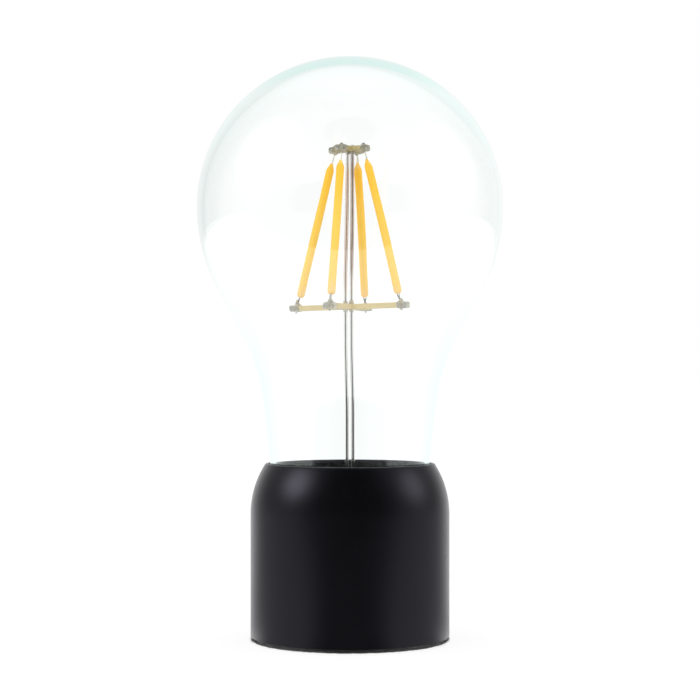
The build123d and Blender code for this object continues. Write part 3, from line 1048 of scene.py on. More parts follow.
def settled(made: bpy.types.Object, crease: float) -> bpy.types.Object:
    """Turn an object's live modifiers into its mesh.

    Args:
        made: The object.
        crease: The angle in degrees past which an edge shades sharp.

    Returns:
        The same object.
    """
    graph = bpy.context.evaluated_depsgraph_get()
    mesh = bpy.data.meshes.new_from_object(made.evaluated_get(graph))
    made.modifiers.clear()
    made.data = mesh
    shaded(mesh, crease)
    return made


def share_past(value: float, start: float, length: float) -> float:
    """How far a value has come from a start along a length, from 0 to 1."""
    return min(1.0, max(0.0, (value - start) / length))


# The glass


@dataclass
class GlassBulb:
    """The blown bulb, one wall of even thickness that grows a little at the crown."""

    top: float = 130.0 * MM
    wall: float = 1.1 * MM
    widest: float = 34.2 * MM
    crown_rise: float = 33.5 * MM
    split: float = math.radians(45.0)
    collar: float = 17.9 * MM
    neck_flare: float = 1.25 * MM
    neck_height: float = 12.0 * MM
    rim: float = 39.25 * MM
    seat: float = 33.0 * MM
    taper_gain: float = 1.54
    hollow_share: float = 1.25
    crown_gain: float = 0.9 * MM
    crown_from: float = 102 * MM
    crown_length: float = 26 * MM
    left_gain: float = 0.4 * MM
    left_power: float = 1.5
    neck_top: float = 45 * MM
    neck_fade: float = 40 * MM
    swirl: float = 0.05 * MM
    swirl_arms: int = 3
    swirl_twist: float = 90.0
    swirl_bands: float = 140.0
    crown_steps: int = 26
    taper_steps: int = 18
    hollow_steps: int = 16
    steps: int = 192

    def outline(self) -> Pen:
        """Draw the outer outline from the crown down to the neck's end.

        Returns:
            The pen, not closed.
        """
        gain = 2 * math.sin(self.split) - 1
        less = 1 - math.sin(self.split)
        crown = (self.widest * math.sin(self.split) - self.crown_rise * less) / gain
        side = (self.crown_rise * math.sin(self.split) - self.widest * less) / gain
        reach = self.widest - self.collar - self.neck_flare
        drop = self.top - self.crown_rise - self.rim - self.neck_height
        neck = math.atan2(self.neck_flare, self.neck_height)
        taper = self.taper_gain * math.atan2(reach, drop)
        arc_reach = 1 - math.cos(taper) + self.hollow_share * (math.cos(neck) - math.cos(taper))
        arc_drop = math.sin(taper) + self.hollow_share * (math.sin(taper) - math.sin(neck))
        solver = arc_reach * math.cos(taper) - arc_drop * math.sin(taper)
        lower = (reach * math.cos(taper) - drop * math.sin(taper)) / solver
        pen = Pen(0.0, self.top)
        pen.bend(crown, self.split, self.crown_steps)
        pen.bend(side, math.pi / 2 - self.split, self.crown_steps)
        pen.bend(lower, taper, self.taper_steps)
        pen.run((arc_reach * drop - arc_drop * reach) / solver)
        pen.bend(self.hollow_share * lower, neck - taper, self.hollow_steps)
        return pen.through((self.collar, self.rim), (self.collar, self.seat))

    def gain(self, spot: Vector) -> float:
        """Work out how much thicker than usual the blown wall is.

        Args:
            spot: A place on the outside.

        Returns:
            The extra thickness.
        """
        share = share_past(spot.z, self.crown_from, self.crown_length)
        crown = self.crown_gain * share * share * (3 - 2 * share)
        above = share_past(spot.z, self.neck_top, self.neck_fade)
        left = self.left_gain * above * max(0.0, -spot.x / self.widest) ** self.left_power
        turn = self.swirl_arms * math.atan2(spot.y, spot.x) + spot.z * self.swirl_twist
        bands = math.sin(spot.z * self.swirl_bands + 1)
        swirl = self.swirl * math.sin(turn) * bands * above
        return crown + left * (1 - share) + swirl

    def build(self) -> None:
        """Make the bulb, with its inside moved where the wall is thicker."""
        bm = self.outline().turn(self.steps)
        made = piece("glass_bulb", bm, Finish.GLASS, ("glass_envelope",))
        count = len(made.data.vertices)
        modified(made, "SOLIDIFY", thickness=self.wall, offset=-1.0, use_even_offset=True)
        settled(made, 180.0)
        verts = made.data.vertices
        for outer, inner in zip(verts[:count], verts[count:]):
            inner.co += (inner.co - outer.co).normalized() * self.gain(outer.co)


# The cap


@dataclass
class Cap:
    """The moulded cup that takes the neck."""

    radius: float = 22.25 * MM
    wall: float = 2.25 * MM
    bottom: float = 0.7 * MM
    shoulder: float = 28.0 * MM
    rim: float = 39.25 * MM
    rim_radius: float = 18.9 * MM
    socket: float = 18.3 * MM
    seat: float = 33.0 * MM
    opening: float = 15.5 * MM
    flange_bottom: float = 31.4 * MM
    edge: float = 0.18 * MM
    edge_angle: float = math.radians(40)
    edge_steps: int = 4
    shoulder_steps: int = 20
    steps: int = 256

    def build(self) -> None:
        """Turn the cup from its half section and round its edges."""
        inset = self.radius - self.rim_radius
        rise = self.rim - self.shoulder
        arc = (inset * inset + rise * rise) / (2 * inset)
        inner = self.radius - self.wall
        pen = Pen(inner, self.bottom)
        pen.through((self.radius, self.bottom), (self.radius, self.shoulder))
        pen.bend(arc, -math.asin(rise / arc), self.shoulder_steps)
        pen.through(
            (self.socket, self.rim),
            (self.socket, self.seat),
            (self.opening, self.seat),
            (self.opening, self.flange_bottom),
            (inner, self.flange_bottom),
        )
        made = piece("cap_shell", pen.close().turn(self.steps), Finish.SHELL, ("housing_cap",))
        sharp = {"limit_method": "ANGLE", "angle_limit": self.edge_angle}
        modified(made, "BEVEL", width=self.edge, segments=self.edge_steps, **sharp)
        settled(made, 30.0)


@dataclass
class GlueRing:
    """The cured glue between the neck and the cap, hollow on top and uneven."""

    inner: float = 17.91 * MM
    outer: float = 18.29 * MM
    seat: float = 33.0 * MM
    top: float = 38.75 * MM
    edge: float = 0.06 * MM
    creep: float = 0.05 * MM
    dips: tuple[float, float, float] = (0.12 * MM, 0.2 * MM, 0.1 * MM)
    still: float = 1.0 * MM
    sag: float = 0.15 * MM
    waves: tuple[int, ...] = (2, 3, 5, 9, 14)
    swell: tuple[float, float] = (0.03 * MM, 0.12 * MM)
    steps: int = 180
    seed: int = 4

    def build(self) -> None:
        """Turn the ring and lift and lower its upper part in waves."""
        pen = Pen(self.inner, self.seat)
        pen.through(
            (self.outer, self.seat),
            (self.outer, self.top),
            (self.outer - self.edge, self.top - self.dips[0]),
            ((self.inner + self.outer) / 2, self.top - self.dips[1]),
            (self.inner + self.edge, self.top - self.dips[2]),
            (self.inner, self.top + self.creep),
        )
        bm = pen.close().turn(self.steps)
        chance = random.Random(self.seed)
        waves = [
            (count, chance.uniform(0, 6.3), chance.uniform(*self.swell)) for count in self.waves
        ]
        for vert in bm.verts:
            if vert.co.z > self.seat + self.still:
                angle = math.atan2(vert.co.y, vert.co.x)
                lift = sum(size * math.sin(count * angle + lag) for count, lag, size in waves)
                vert.co.z += lift - self.sag
        piece("glue_ring", bm, Finish.GLUE, ("neck_adhesive",))


@dataclass
class FeltFoot:
    """A felt disc with loose fibres round its edge."""

    radius: float = 21.95 * MM
    thickness: float = 0.7 * MM
    sag: float = -0.27 * MM
    rings: tuple[float, ...] = (0.3, 0.6, 0.85, 0.97)
    edge: tuple[tuple[float, float], ...] = ((0.0, 0.1 * MM), (0.04 * MM, 0.4 * MM))
    low_inset: float = 0.12 * MM
    top_inset: float = 0.1 * MM
    soft_zone: float = 0.9
    ruffle: tuple[float, float] = (-0.004, 0.003)
    droop: tuple[float, float] = (-0.05 * MM, 0.03 * MM)
    fibres: int = 3000
    fibre_radius: float = 0.02 * MM
    fibre_length: tuple[float, float] = (0.25 * MM, 0.9 * MM)
    root_depth: float = 0.5 * MM
    root_height: tuple[float, float] = (-0.04 * MM, 0.55 * MM)
    outward: tuple[float, float] = (0.2, 1.0)
    slope: tuple[float, float] = (-0.6, 0.2)
    curl: float = 0.06 * MM
    lift: float = 0.05 * MM
    thinning: float = 0.75
    steps: int = 300
    seed: int = 11

    def disc(self) -> bpy.types.Object:
        """Turn the disc and make its edge soft and uneven.

        Returns:
            The disc.
        """
        pen = Pen(0.0, 0.0)
        pen.through(*((self.radius * share, 0.0) for share in self.rings))
        pen.to(self.radius - self.low_inset, self.sag / 2)
        pen.through(*((self.radius - inset, height) for inset, height in self.edge))
        pen.through((self.radius - self.top_inset, self.thickness), (0.0, self.thickness))
        bm = pen.turn(self.steps)
        chance = random.Random(self.seed)
        for vert in bm.verts:
            outside = vert.co.xy.length > self.radius * self.soft_zone
            if outside and vert.co.z < self.thickness * self.soft_zone:
                vert.co.xy *= 1 + chance.uniform(*self.ruffle)
                vert.co.z = max(self.sag, vert.co.z + chance.uniform(*self.droop))
        return piece("felt_disc", bm, Finish.FELT, ("felt_pad",), 60.0)

    def fibre(self, chance: random.Random) -> list[tuple[Vector, float]]:
        """Lay out one loose fibre, which may hang below the foot.

        Args:
            chance: The random numbers to draw from.

        Returns:
            Its points, each with its share of the radius.
        """
        angle = chance.uniform(0, 2 * math.pi)
        out = Vector((math.cos(angle), math.sin(angle), 0))
        along = Vector((-out.y, out.x, 0))
        spot = out * (self.radius - chance.uniform(0.0, self.root_depth))
        spot.z = chance.uniform(*self.root_height)
        way = out * chance.uniform(*self.outward) + along * chance.uniform(-1, 1)
        way.z = chance.uniform(*self.slope)
        way *= chance.uniform(*self.fibre_length) / way.length
        route = []
        for share in (0.0, 1 / 3, 2 / 3, 1.0):
            here = spot + way * share + along * chance.uniform(-self.curl, self.curl)
            here.z = max(self.sag, here.z + chance.uniform(-self.lift, self.lift))
            route.append((here, 1.0 - self.thinning * share))
        return route

    def fringe(self) -> bpy.types.Object:
        """Grow the loose fibres as fine tapered wires.

        Returns:
            The fibres, as one object.
        """
        chance = random.Random(self.seed + 1)
        routes = [self.fibre(chance) for _ in range(self.fibres)]
        return piece("felt_fibres", wires(routes, self.fibre_radius, 0), Finish.FELT, (), 60.0)

    def build(self) -> None:
        disc = self.disc()
        fringe = self.fringe()
        across = 2 * self.radius
        math.pi * self.radius**2


# The cage


class Arm(Enum):
    """The four arms, in turn from the right, each a quarter turn on."""

    RIGHT = 0
    FAR = 1
    LEFT = 2
    NEAR = 3


@dataclass
class Board:
    """One cross-shaped board's place and sizes."""

    height: float
    shift: float
    tip: float
    pin: float
    arm_angle: float
    pad: float
    side: int
    tilt: float = math.radians(-1.5)
    thickness: float = 1.2 * MM
    arm_width: float = 2.35 * MM

    @property
    def frame(self) -> Matrix:
        """The matrix that puts a thing on the board's middle plane."""
        middle = Matrix.Translation((self.shift, 0, self.height))
        return middle @ Matrix.Rotation(self.tilt, 4, "Y")

    def arm(self, arm: Arm) -> Matrix:
        """The matrix that puts a thing on an arm, with X outwards."""
        angle = self.arm_angle + arm.value * math.pi / 2
        return self.frame @ Matrix.Rotation(angle, 4, "Z")

    def face(self, way: int) -> Matrix:
        """The matrix from the middle plane to the top, or for a way of minus one to the bottom."""
        flip = Matrix.Rotation(0.0 if way > 0 else math.pi, 4, "X")
        return Matrix.Translation((0, 0, way * self.thickness / 2)) @ flip

    def pin_place(self, arm: Arm) -> Vector:
        """An arm's pin place in the middle of the board's thickness."""
        return self.arm(arm) @ Vector((self.pin, 0, 0))


@dataclass
class CageLayout:
    """Where the two boards stand, with the filaments and the rods between them."""

    filament: float = 31.0 * MM
    low_reach: float = 2.0 * MM
    top_reach: float = 2.6 * MM
    low_pin: float = 12.35 * MM
    top_pin: float = 3.65 * MM
    low_turn: float = math.radians(-18.6)
    top_turn: float = math.radians(-28.0)
    upper_height: float = 110.2 * MM
    rod: float = 0.45 * MM
    rod_place: float = 0.7 * MM
    rod_place_top: float = 0.55 * MM
    lower: Board = field(init=False)
    upper: Board = field(init=False)

    def __post_init__(self) -> None:
        """Work out the lower board's height from the filaments' length."""
        span = self.filament + self.low_reach + self.top_reach + Board.thickness
        between = math.cos(self.low_turn - self.top_turn)
        step = self.low_pin**2 + self.top_pin**2 - 2 * self.low_pin * self.top_pin * between
        self.lower = Board(
            height=self.upper_height - math.sqrt(span**2 - step),
            shift=-0.34 * MM,
            tip=13.9 * MM,
            pin=self.low_pin,
            arm_angle=self.low_turn,
            pad=2.5 * MM,
            side=1,
        )
        self.upper = Board(
            height=self.upper_height,
            shift=-0.2 * MM,
            tip=4.6 * MM,
            pin=self.top_pin,
            arm_angle=self.top_turn,
            pad=1.7 * MM,
            side=-1,
        )

    @property
    def start(self) -> float:
        """How far a filament's lower end is from its lower pin place."""
        return self.lower.thickness / 2 + self.low_reach

    def axis(self, arm: Arm) -> tuple[Vector, Vector, float]:
        """Find a filament's axis.

        Args:
            arm: The arms that it stands on.

        Returns:
            Its lower pin place, its direction and the distance between the pin places.
        """
        low = self.lower.pin_place(arm)
        high = self.upper.pin_place(arm)
        return low, (high - low).normalized(), (high - low).length

    def standing(self, arm: Arm, spin: float = 0.0) -> Matrix:
        """Find the matrix that stands a thing on a filament's lower pin place.

        Args:
            arm: The arms that the filament stands on.
            spin: How far the thing is turned about the filament's axis.

        Returns:
            The matrix, which puts Z along the axis.
        """
        low, along, _ = self.axis(arm)
        turn = Vector((0, 0, 1)).rotation_difference(along).to_matrix().to_4x4()
        return Matrix.Translation(low) @ turn @ Matrix.Rotation(spin, 4, "Z")


@dataclass
class Filaments:
    """The four filaments, each with a blunt round end below and a long slim one above."""

    layout: CageLayout
    radius: float = 0.9 * MM
    tip_radius: float = 0.35 * MM
    taper: float = 2.0 * MM
    taper_power: float = 0.85
    blunt: float = 0.8 * MM
    foot_flat: float = 0.7
    tip_flat: float = 0.6
    tip_rises: tuple[float, float] = (0.08 * MM, 0.1 * MM)
    waist: float = 0.02
    waist_turn: float = 9.0
    waists_at: tuple[float, ...] = (0.15, 0.3, 0.45, 0.6, 0.75, 0.9)
    end_steps: int = 9
    steps: int = 40

    def stick(self) -> bmesh.types.BMesh:
        """Turn one filament from its outline.

        Returns:
            Its shape on the Z axis, above its lower pin place.
        """
        start = self.layout.start
        end = start + self.layout.filament
        swell = self.radius - self.tip_radius
        body = self.layout.filament - self.taper - self.blunt
        pen = Pen(0.0, start)
        pen.to(self.tip_radius * self.foot_flat, start)
        for index in range(1, self.end_steps + 1):
            turn = index / self.end_steps * math.pi / 2
            rise = self.blunt * (1 - math.cos(turn))
            pen.to(self.tip_radius + swell * math.sin(turn), start + rise)
        for share in self.waists_at:
            width = self.radius * (1 - self.waist * math.sin(share * self.waist_turn))
            pen.to(width, start + self.blunt + body * share)
        for index in range(self.end_steps + 1):
            share = index / self.end_steps
            fall = (0.5 + 0.5 * math.cos(share * math.pi)) ** self.taper_power
            pen.to(self.tip_radius + swell * fall, end - self.taper * (1 - share))
        pen.to(self.tip_radius * self.tip_flat, end + self.tip_rises[0])
        return pen.to(0.0, end + self.tip_rises[1]).turn(self.steps)

    def build(self) -> None:
        """Stand a filament on every pair of arms."""
        for arm in Arm:
            bm = moved(self.stick(), self.layout.standing(arm))
            name = arm.name.lower()
            piece(f"phosphor_{name}", bm, Finish.PHOSPHOR, (f"filament_{name}",), 70.0)


@dataclass
class WireEnds:
    """The flat wire ends, each a pin in the board and a forked blade in the filament."""

    layout: CageLayout
    thickness: float = 0.18 * MM
    pin_rows: tuple[tuple[float, float], ...] = (
        (-1.2 * MM, 0.24 * MM),
        (-0.95 * MM, 0.32 * MM),
        (0.7 * MM, 0.32 * MM),
        (1.2 * MM, 0.28 * MM),
    )
    depth: float = 0.35 * MM
    fork: float = 0.75 * MM
    fork_width: float = 0.34 * MM
    blade_width: float = 0.5 * MM
    wide_blade: float = 0.66 * MM
    prong: float = 0.08 * MM
    spins: tuple[float, ...] = (0.5, 0.1, 1.2, 0.9)
    upper_spin: float = 0.6

    def strip(self, arm: Arm, upper: bool) -> bmesh.types.BMesh:
        """Shape one wire end.

        Args:
            arm: The arms that its filament stands on.
            upper: Whether it is the upper end.

        Returns:
            Its shape, in place.
        """
        _, _, span = self.layout.axis(arm)
        low = self.layout.start
        inner = (span - low - self.layout.filament if upper else low) + self.depth
        forked = inner - self.fork
        blade = self.wide_blade if arm is Arm.FAR and not upper else self.blade_width
        rows = self.pin_rows + ((forked, self.fork_width), (inner, blade))
        bm = bmesh.new()
        bmesh.ops.create_grid(bm, x_segments=2, y_segments=len(rows) - 1, size=0.5)
        levels = sorted({round(vert.co.y, 5) for vert in bm.verts})
        for vert in bm.verts:
            height, width = rows[levels.index(round(vert.co.y, 5))]
            vert.co = Vector((vert.co.x * width, 0, height))
        fork = [face for face in bm.faces if face.calc_center_median().z > forked]
        bmesh.ops.inset_individual(bm, faces=fork, thickness=self.prong)
        bmesh.ops.delete(bm, geom=fork, context="FACES_ONLY")
        bmesh.ops.recalc_face_normals(bm, faces=bm.faces)
        bmesh.ops.solidify(bm, geom=bm.faces[:], thickness=self.thickness)
        bmesh.ops.recalc_face_normals(bm, faces=bm.faces)
        spin = self.spins[arm.value]
        if not upper:
            return moved(bm, self.layout.standing(arm, spin))
        top = Matrix.Translation((0, 0, span)) @ Matrix.Rotation(math.pi, 4, "X")
        return moved(bm, self.layout.standing(arm, spin + self.upper_spin) @ top)

    def build(self) -> None:
        """Make the eight wire ends."""
        for upper, name, finish in (
            (False, "lower", Finish.LEAD),
            (True, "upper", Finish.COATED_LEAD),
        ):
            bm = joined([self.strip(arm, upper) for arm in Arm])
            piece(f"wire_ends_{name}", bm, finish, (f"filament_leads_{name}",), 30.0)


@dataclass
class Rods:
    """The two rods, with a step aside below the lower board and a lean back above it."""

    layout: CageLayout
    foot: float = 27.3 * MM
    boss_top: float = 36.5 * MM
    step_shares: tuple[float, float] = (0.42, 0.78)
    lean_share: float = 0.22
    right_rise: float = 0.5 * MM
    chamfer: float = 0.08 * MM
    foot_width: float = 0.86
    top_width: float = 0.84
    sides: int = 9

    def route(self, side: int, rise: float) -> list[tuple[Vector, float]]:
        """Lay out one rod.

        Args:
            side: Minus one for the left rod and one for the right.
            rise: How far it stands out above the upper board.

        Returns:
            Its points, each with its share of the radius.
        """
        lower, upper = self.layout.lower, self.layout.upper
        free = lower.height - lower.thickness / 2 - self.boss_top
        low, high = (self.boss_top + share * free for share in self.step_shares)
        lean = lower.height + self.lean_share * (upper.height - lower.height)
        top = upper.height + upper.thickness / 2 + rise
        place = side * self.layout.rod_place
        end_place = side * self.layout.rod_place_top
        levels = (
            (self.foot, place, self.foot_width),
            (self.foot + self.chamfer, place, 1.0),
            (low, place, 1.0),
            (high, lower.shift + place, 1.0),
            (lean, lower.shift + place, 1.0),
            (top - self.chamfer, end_place, 1.0),
            (top, end_place, self.top_width),
        )
        return [(Vector((x, 0, height)), share) for height, x, share in levels]

    def build(self) -> None:
        """Draw the two rods."""
        for side, name, rise, finish in (
            (-1, "left", 0.0, Finish.ROD_LEFT),
            (1, "right", self.right_rise, Finish.ROD_RIGHT),
        ):
            bm = wires([self.route(side, rise)], self.layout.rod, self.sides)
            piece(f"rod_{name}", bm, finish, (f"support_rod_{name}",), 30.0)


@dataclass(frozen=True)
class Meniscus:
    """A hollow-sided solder cone, which goes a little down into its board."""

    foot: float
    neck: float
    rise: float
    sink: float
    sunk_share: float = 0.96
    hollow: float = 2.1
    top_share: float = 0.5
    top_rises: tuple[float, float] = (0.04 * MM, 0.05 * MM)
    side_steps: int = 8
    steps: int = 32

    def shape(self) -> bmesh.types.BMesh:
        """Turn the cone from its outline.

        Returns:
            Its shape, foot at the origin.
        """
        pen = Pen(0.0, -self.sink)
        pen.through((self.foot * self.sunk_share, -self.sink), (self.foot, 0.0))
        for index in range(1, self.side_steps + 1):
            share = index / self.side_steps
            width = self.neck + (self.foot - self.neck) * (1 - share) ** self.hollow
            pen.to(width, self.rise * share)
        pen.to(self.neck * self.top_share, self.rise + self.top_rises[0])
        return pen.to(0.0, self.rise + self.top_rises[1]).turn(self.steps)


@dataclass
class LeadSolder:
    """The solder on a board's four arms: a coat, a cone up the wire and a low cap behind."""

    board: Board
    name: str
    rises: tuple[tuple[float, float], ...]
    coat: float
    soft: int
    cone_foot: float = 1.12 * MM
    cap_foot: float = 1.0 * MM
    wire: float = 0.3 * MM
    sink: float = 0.3 * MM
    rounding: float = 2.2
    rounding_steps: int = 3
    grid: float = 0.085 * MM
    lump: float = 0.016 * MM
    lumps_per_metre: float = 2600.0
    seed: int = 12

    def coating(self, place: Matrix) -> bmesh.types.BMesh:
        """Shape the coat round an arm's end.

        Args:
            place: The matrix that puts a thing on the arm.

        Returns:
            Its shape, in place.
        """
        board, coat = self.board, self.coat
        bm = bmesh.new()
        bmesh.ops.create_cube(bm, size=1.0)
        size = (board.pad, board.arm_width + 2 * coat, board.thickness + 2 * coat)
        bmesh.ops.scale(bm, vec=size, verts=bm.verts)
        bmesh.ops.bevel(
            bm,
            geom=bm.edges[:],
            offset=coat * self.rounding,
            segments=self.rounding_steps,
            affect="EDGES",
            profile=0.5,
            material=-1,
        )
        middle = board.tip + coat - board.pad / 2
        return moved(bm, place @ Matrix.Translation((middle, 0, 0)))

    def joint(self, arm: Arm) -> list[bmesh.types.BMesh]:
        """Shape one arm's solder.

        Args:
            arm: The arm.

        Returns:
            Its three shapes, in place.
        """
        board = self.board
        place = board.arm(arm)
        pin = place @ Matrix.Translation((board.pin, 0, 0))
        cone_rise, cap_rise = self.rises[arm.value]
        cone = Meniscus(self.cone_foot, self.wire, cone_rise, self.sink).shape()
        cap = Meniscus(self.cap_foot, self.wire, cap_rise, self.sink).shape()
        return [
            self.coating(place),
            moved(cone, pin @ board.face(board.side)),
            moved(cap, pin @ board.face(-board.side)),
        ]

    def build(self) -> None:
        """Melt the shapes into one in millimetres, which the grid needs, and make it lumpy."""
        parts = [shape for arm in Arm for shape in self.joint(arm)]
        enlarged = moved(joined(parts), Matrix.Scale(1 / MM, 4))
        nodes = (f"{self.name}_lead_solder",)
        made = piece(f"solder_{self.name}", enlarged, Finish.SOLDER, nodes)
        modified(made, "REMESH", mode="VOXEL", voxel_size=self.grid / MM)
        modified(made, "SMOOTH", factor=0.5, iterations=self.soft)
        settled(made, 80.0)
        made.data.transform(Matrix.Scale(MM, 4))
        chance = random.Random(self.seed)
        lumps = [Vector([chance.uniform(-1, 1) for _ in range(3)]) for _ in range(3)]
        for vert in made.data.vertices:
            turns = [vert.co.dot(lump) * self.lumps_per_metre for lump in lumps]
            swell = sum(math.sin(turn + index * 2) for index, turn in enumerate(turns))
            vert.co += vert.normal * swell * self.lump


@dataclass
class RodSolder:
    """The solder fillets where the rods pass a board, each as its side, way and height."""

    board: Board
    name: str
    place: float
    aside: float
    foot: float
    neck: float
    fillets: tuple[tuple[int, int, float], ...]
    sink: float = 0.1 * MM

    def build(self) -> None:
        """Set the fillets on both sides of the board."""
        parts = []
        for side, way, rise in self.fillets:
            cone = Meniscus(self.foot, self.neck, rise, self.sink).shape()
            spot = Matrix.Translation((self.aside + side * self.place, 0, 0))
            parts.append(moved(cone, self.board.frame @ spot @ self.board.face(way)))
        nodes = (f"{self.name}_rod_solder",)
        piece(f"rod_solder_{self.name}", joined(parts), Finish.SOLDER, nodes, 60.0)


@dataclass
class Cage:
    """The filaments with their wires, the rods and all the solder on the two boards."""

    layout: CageLayout = field(default_factory=CageLayout)
    rod_gap: float = 0.03 * MM
    lower_rises: tuple[tuple[float, float], ...] = (
        (0.9 * MM, 0.4 * MM),
        (0.8 * MM, 0.2 * MM),
        (1.35 * MM, 0.25 * MM),
        (1.3 * MM, 0.25 * MM),
    )
    upper_rises: tuple[tuple[float, float], ...] = ((0.55 * MM, 0.65 * MM),) * 4
    lower_fillets: tuple[tuple[int, int, float], ...] = (
        (-1, 1, 0.7 * MM),
        (-1, -1, 0.6 * MM),
        (1, 1, 0.9 * MM),
        (1, -1, 0.6 * MM),
    )
    upper_fillets: tuple[tuple[int, int, float], ...] = (
        (-1, -1, 0.6 * MM),
        (-1, 1, 0.3 * MM),
        (1, -1, 0.6 * MM),
        (1, 1, 0.3 * MM),
    )

    def solder(self) -> None:
        """Solder the wires and the rods to both boards."""
        lower, upper = self.layout.lower, self.layout.upper
        neck = self.layout.rod + self.rod_gap
        LeadSolder(lower, "lower", self.lower_rises, coat=0.13 * MM, soft=6).build()
        LeadSolder(upper, "upper", self.upper_rises, coat=0.24 * MM, soft=10).build()
        RodSolder(
            lower,
            "lower",
            place=self.layout.rod_place,
            aside=0.0,
            foot=0.68 * MM,
            neck=neck,
            fillets=self.lower_fillets,
        ).build()
        RodSolder(
            upper,
            "upper",
            place=self.layout.rod_place_top,
            aside=-upper.shift,
            foot=0.6 * MM,
            neck=neck,
            fillets=self.upper_fillets,
        ).build()

    def build(self) -> None:
        """Make the cage's pieces."""
        Filaments(self.layout).build()
        WireEnds(self.layout).build()
        Rods(self.layout).build()
        self.solder()


# Kept nodes


@dataclass
class KeptNodes:
    """The CAD nodes whose shapes stay, by their finish."""

    names: dict[Finish, tuple[str, ...]] = field(
        default_factory=lambda: {
            Finish.MOULDING: ("bottom_cover", "magnet_holder", "stem_plate"),
            Finish.COPPER: ("receiver_coil", "coil_leads"),
            Finish.FERRITE: ("ferrite_sheet", "power_inductor"),
            Finish.NICKEL: ("lifting_magnet",),
            Finish.DRIVER: ("driver_board",),
            Finish.CHIP: ("bridge_rectifier", "driver_chip", "chip_resistors"),
            Finish.CAN: ("smoothing_capacitor",),
            Finish.CERAMIC: ("tuning_capacitors",),
            Finish.SOLDER: ("base_rod_solder",),
            Finish.BOARD: ("lower_led_board", "upper_led_board"),
        }
    )

    def dress(self) -> None:
        """Give every kept node its material."""
        for finish, names in self.names.items():
            for name in names:
                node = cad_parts[name]
                if not node.material_slots:
                    node.data.materials.append(finish.paint())
                for held in node.material_slots:
                    held.material = finish.paint()
                log.info("%s keeps its CAD shape", name)


# The studio


WHITE_GAIN = 0.09
NOT_ZERO = 1e-8


@dataclass(frozen=True)
class SoftLamp:
    """A soft lamp, as matt things and as reflections see it."""

    name: str
    azimuth: float
    elevation: float
    mirrored: float
    fill: float
    size: float = 0.48
    distance: float = 1.1
    target: tuple[float, float, float] = (0.0, 0.0, 0.06)

    @property
    def way(self) -> Vector:
        """The way to it, its azimuth from the camera's side and positive to the right.

        Returns:
            The way, one long.
        """
        turn, lift = math.radians(self.azimuth), math.radians(self.elevation)
        flat = math.cos(lift)
        return Vector((math.sin(turn) * flat, -math.cos(turn) * flat, math.sin(lift)))

    def hang(self) -> None:
        """Hang the lamp, whose own reflection the world draws."""
        light = bpy.data.lights.new(self.name, "AREA")
        light.shape = "SQUARE"
        light.size = self.size
        light.energy = self.fill * math.pi * self.size * self.size
        made = linked(self.name, light)
        made.location = Vector(self.target) + self.way * self.distance
        made.rotation_mode = "QUATERNION"
        made.rotation_quaternion = self.way.to_track_quat("Z", "Y")
        made.visible_camera = False
        made.visible_glossy = False
        made.visible_transmission = False


@dataclass(frozen=True)
class BackWall:
    """The bright wall behind the lamp, which the world and the floor both show."""

    level: float = 1.08
    start: float = -0.48
    end: float = -1.03

    def shown(self, paint: Painter, ahead: Wire) -> Wire:
        """How bright it is where a level way has this part ahead."""
        return paint.step(ahead, self.start, self.end, 0.0, self.level)


def level_length(x: Wire, y: Wire) -> Wire:
    """The level length of a vector, which is never quite zero."""
    return (x * x + y * y + NOT_ZERO) ** 0.5


class Sight:
    """A ray's way into the world, with its rise, its part to the right and its part ahead."""

    def __init__(self, paint: Painter) -> None:
        """Read the ray's way.

        Args:
            paint: The world's painter.
        """
        self.paint = paint
        self.way = paint.node("TexCoord", output="Generated")
        self.right, back, self.rise = paint.axes(self.way)
        self.ahead = (0 - back) / level_length(self.right, back)

    def patch(self, way: Vector, inner: float, outer: float) -> Wire:
        """How far the ray lies in a soft round patch.

        Args:
            way: The way to the patch's middle.
            inner: Degrees from there to where it starts to fade.
            outer: Degrees from there to where it ends.

        Returns:
            The share, from 0 to 1.
        """
        values = {0: self.way, 1: tuple(way)}
        near = self.paint.node("VectorMath", values, {"operation": "DOT_PRODUCT"}, output="Value")
        return self.paint.step(near, math.cos(math.radians(outer)), math.cos(math.radians(inner)))


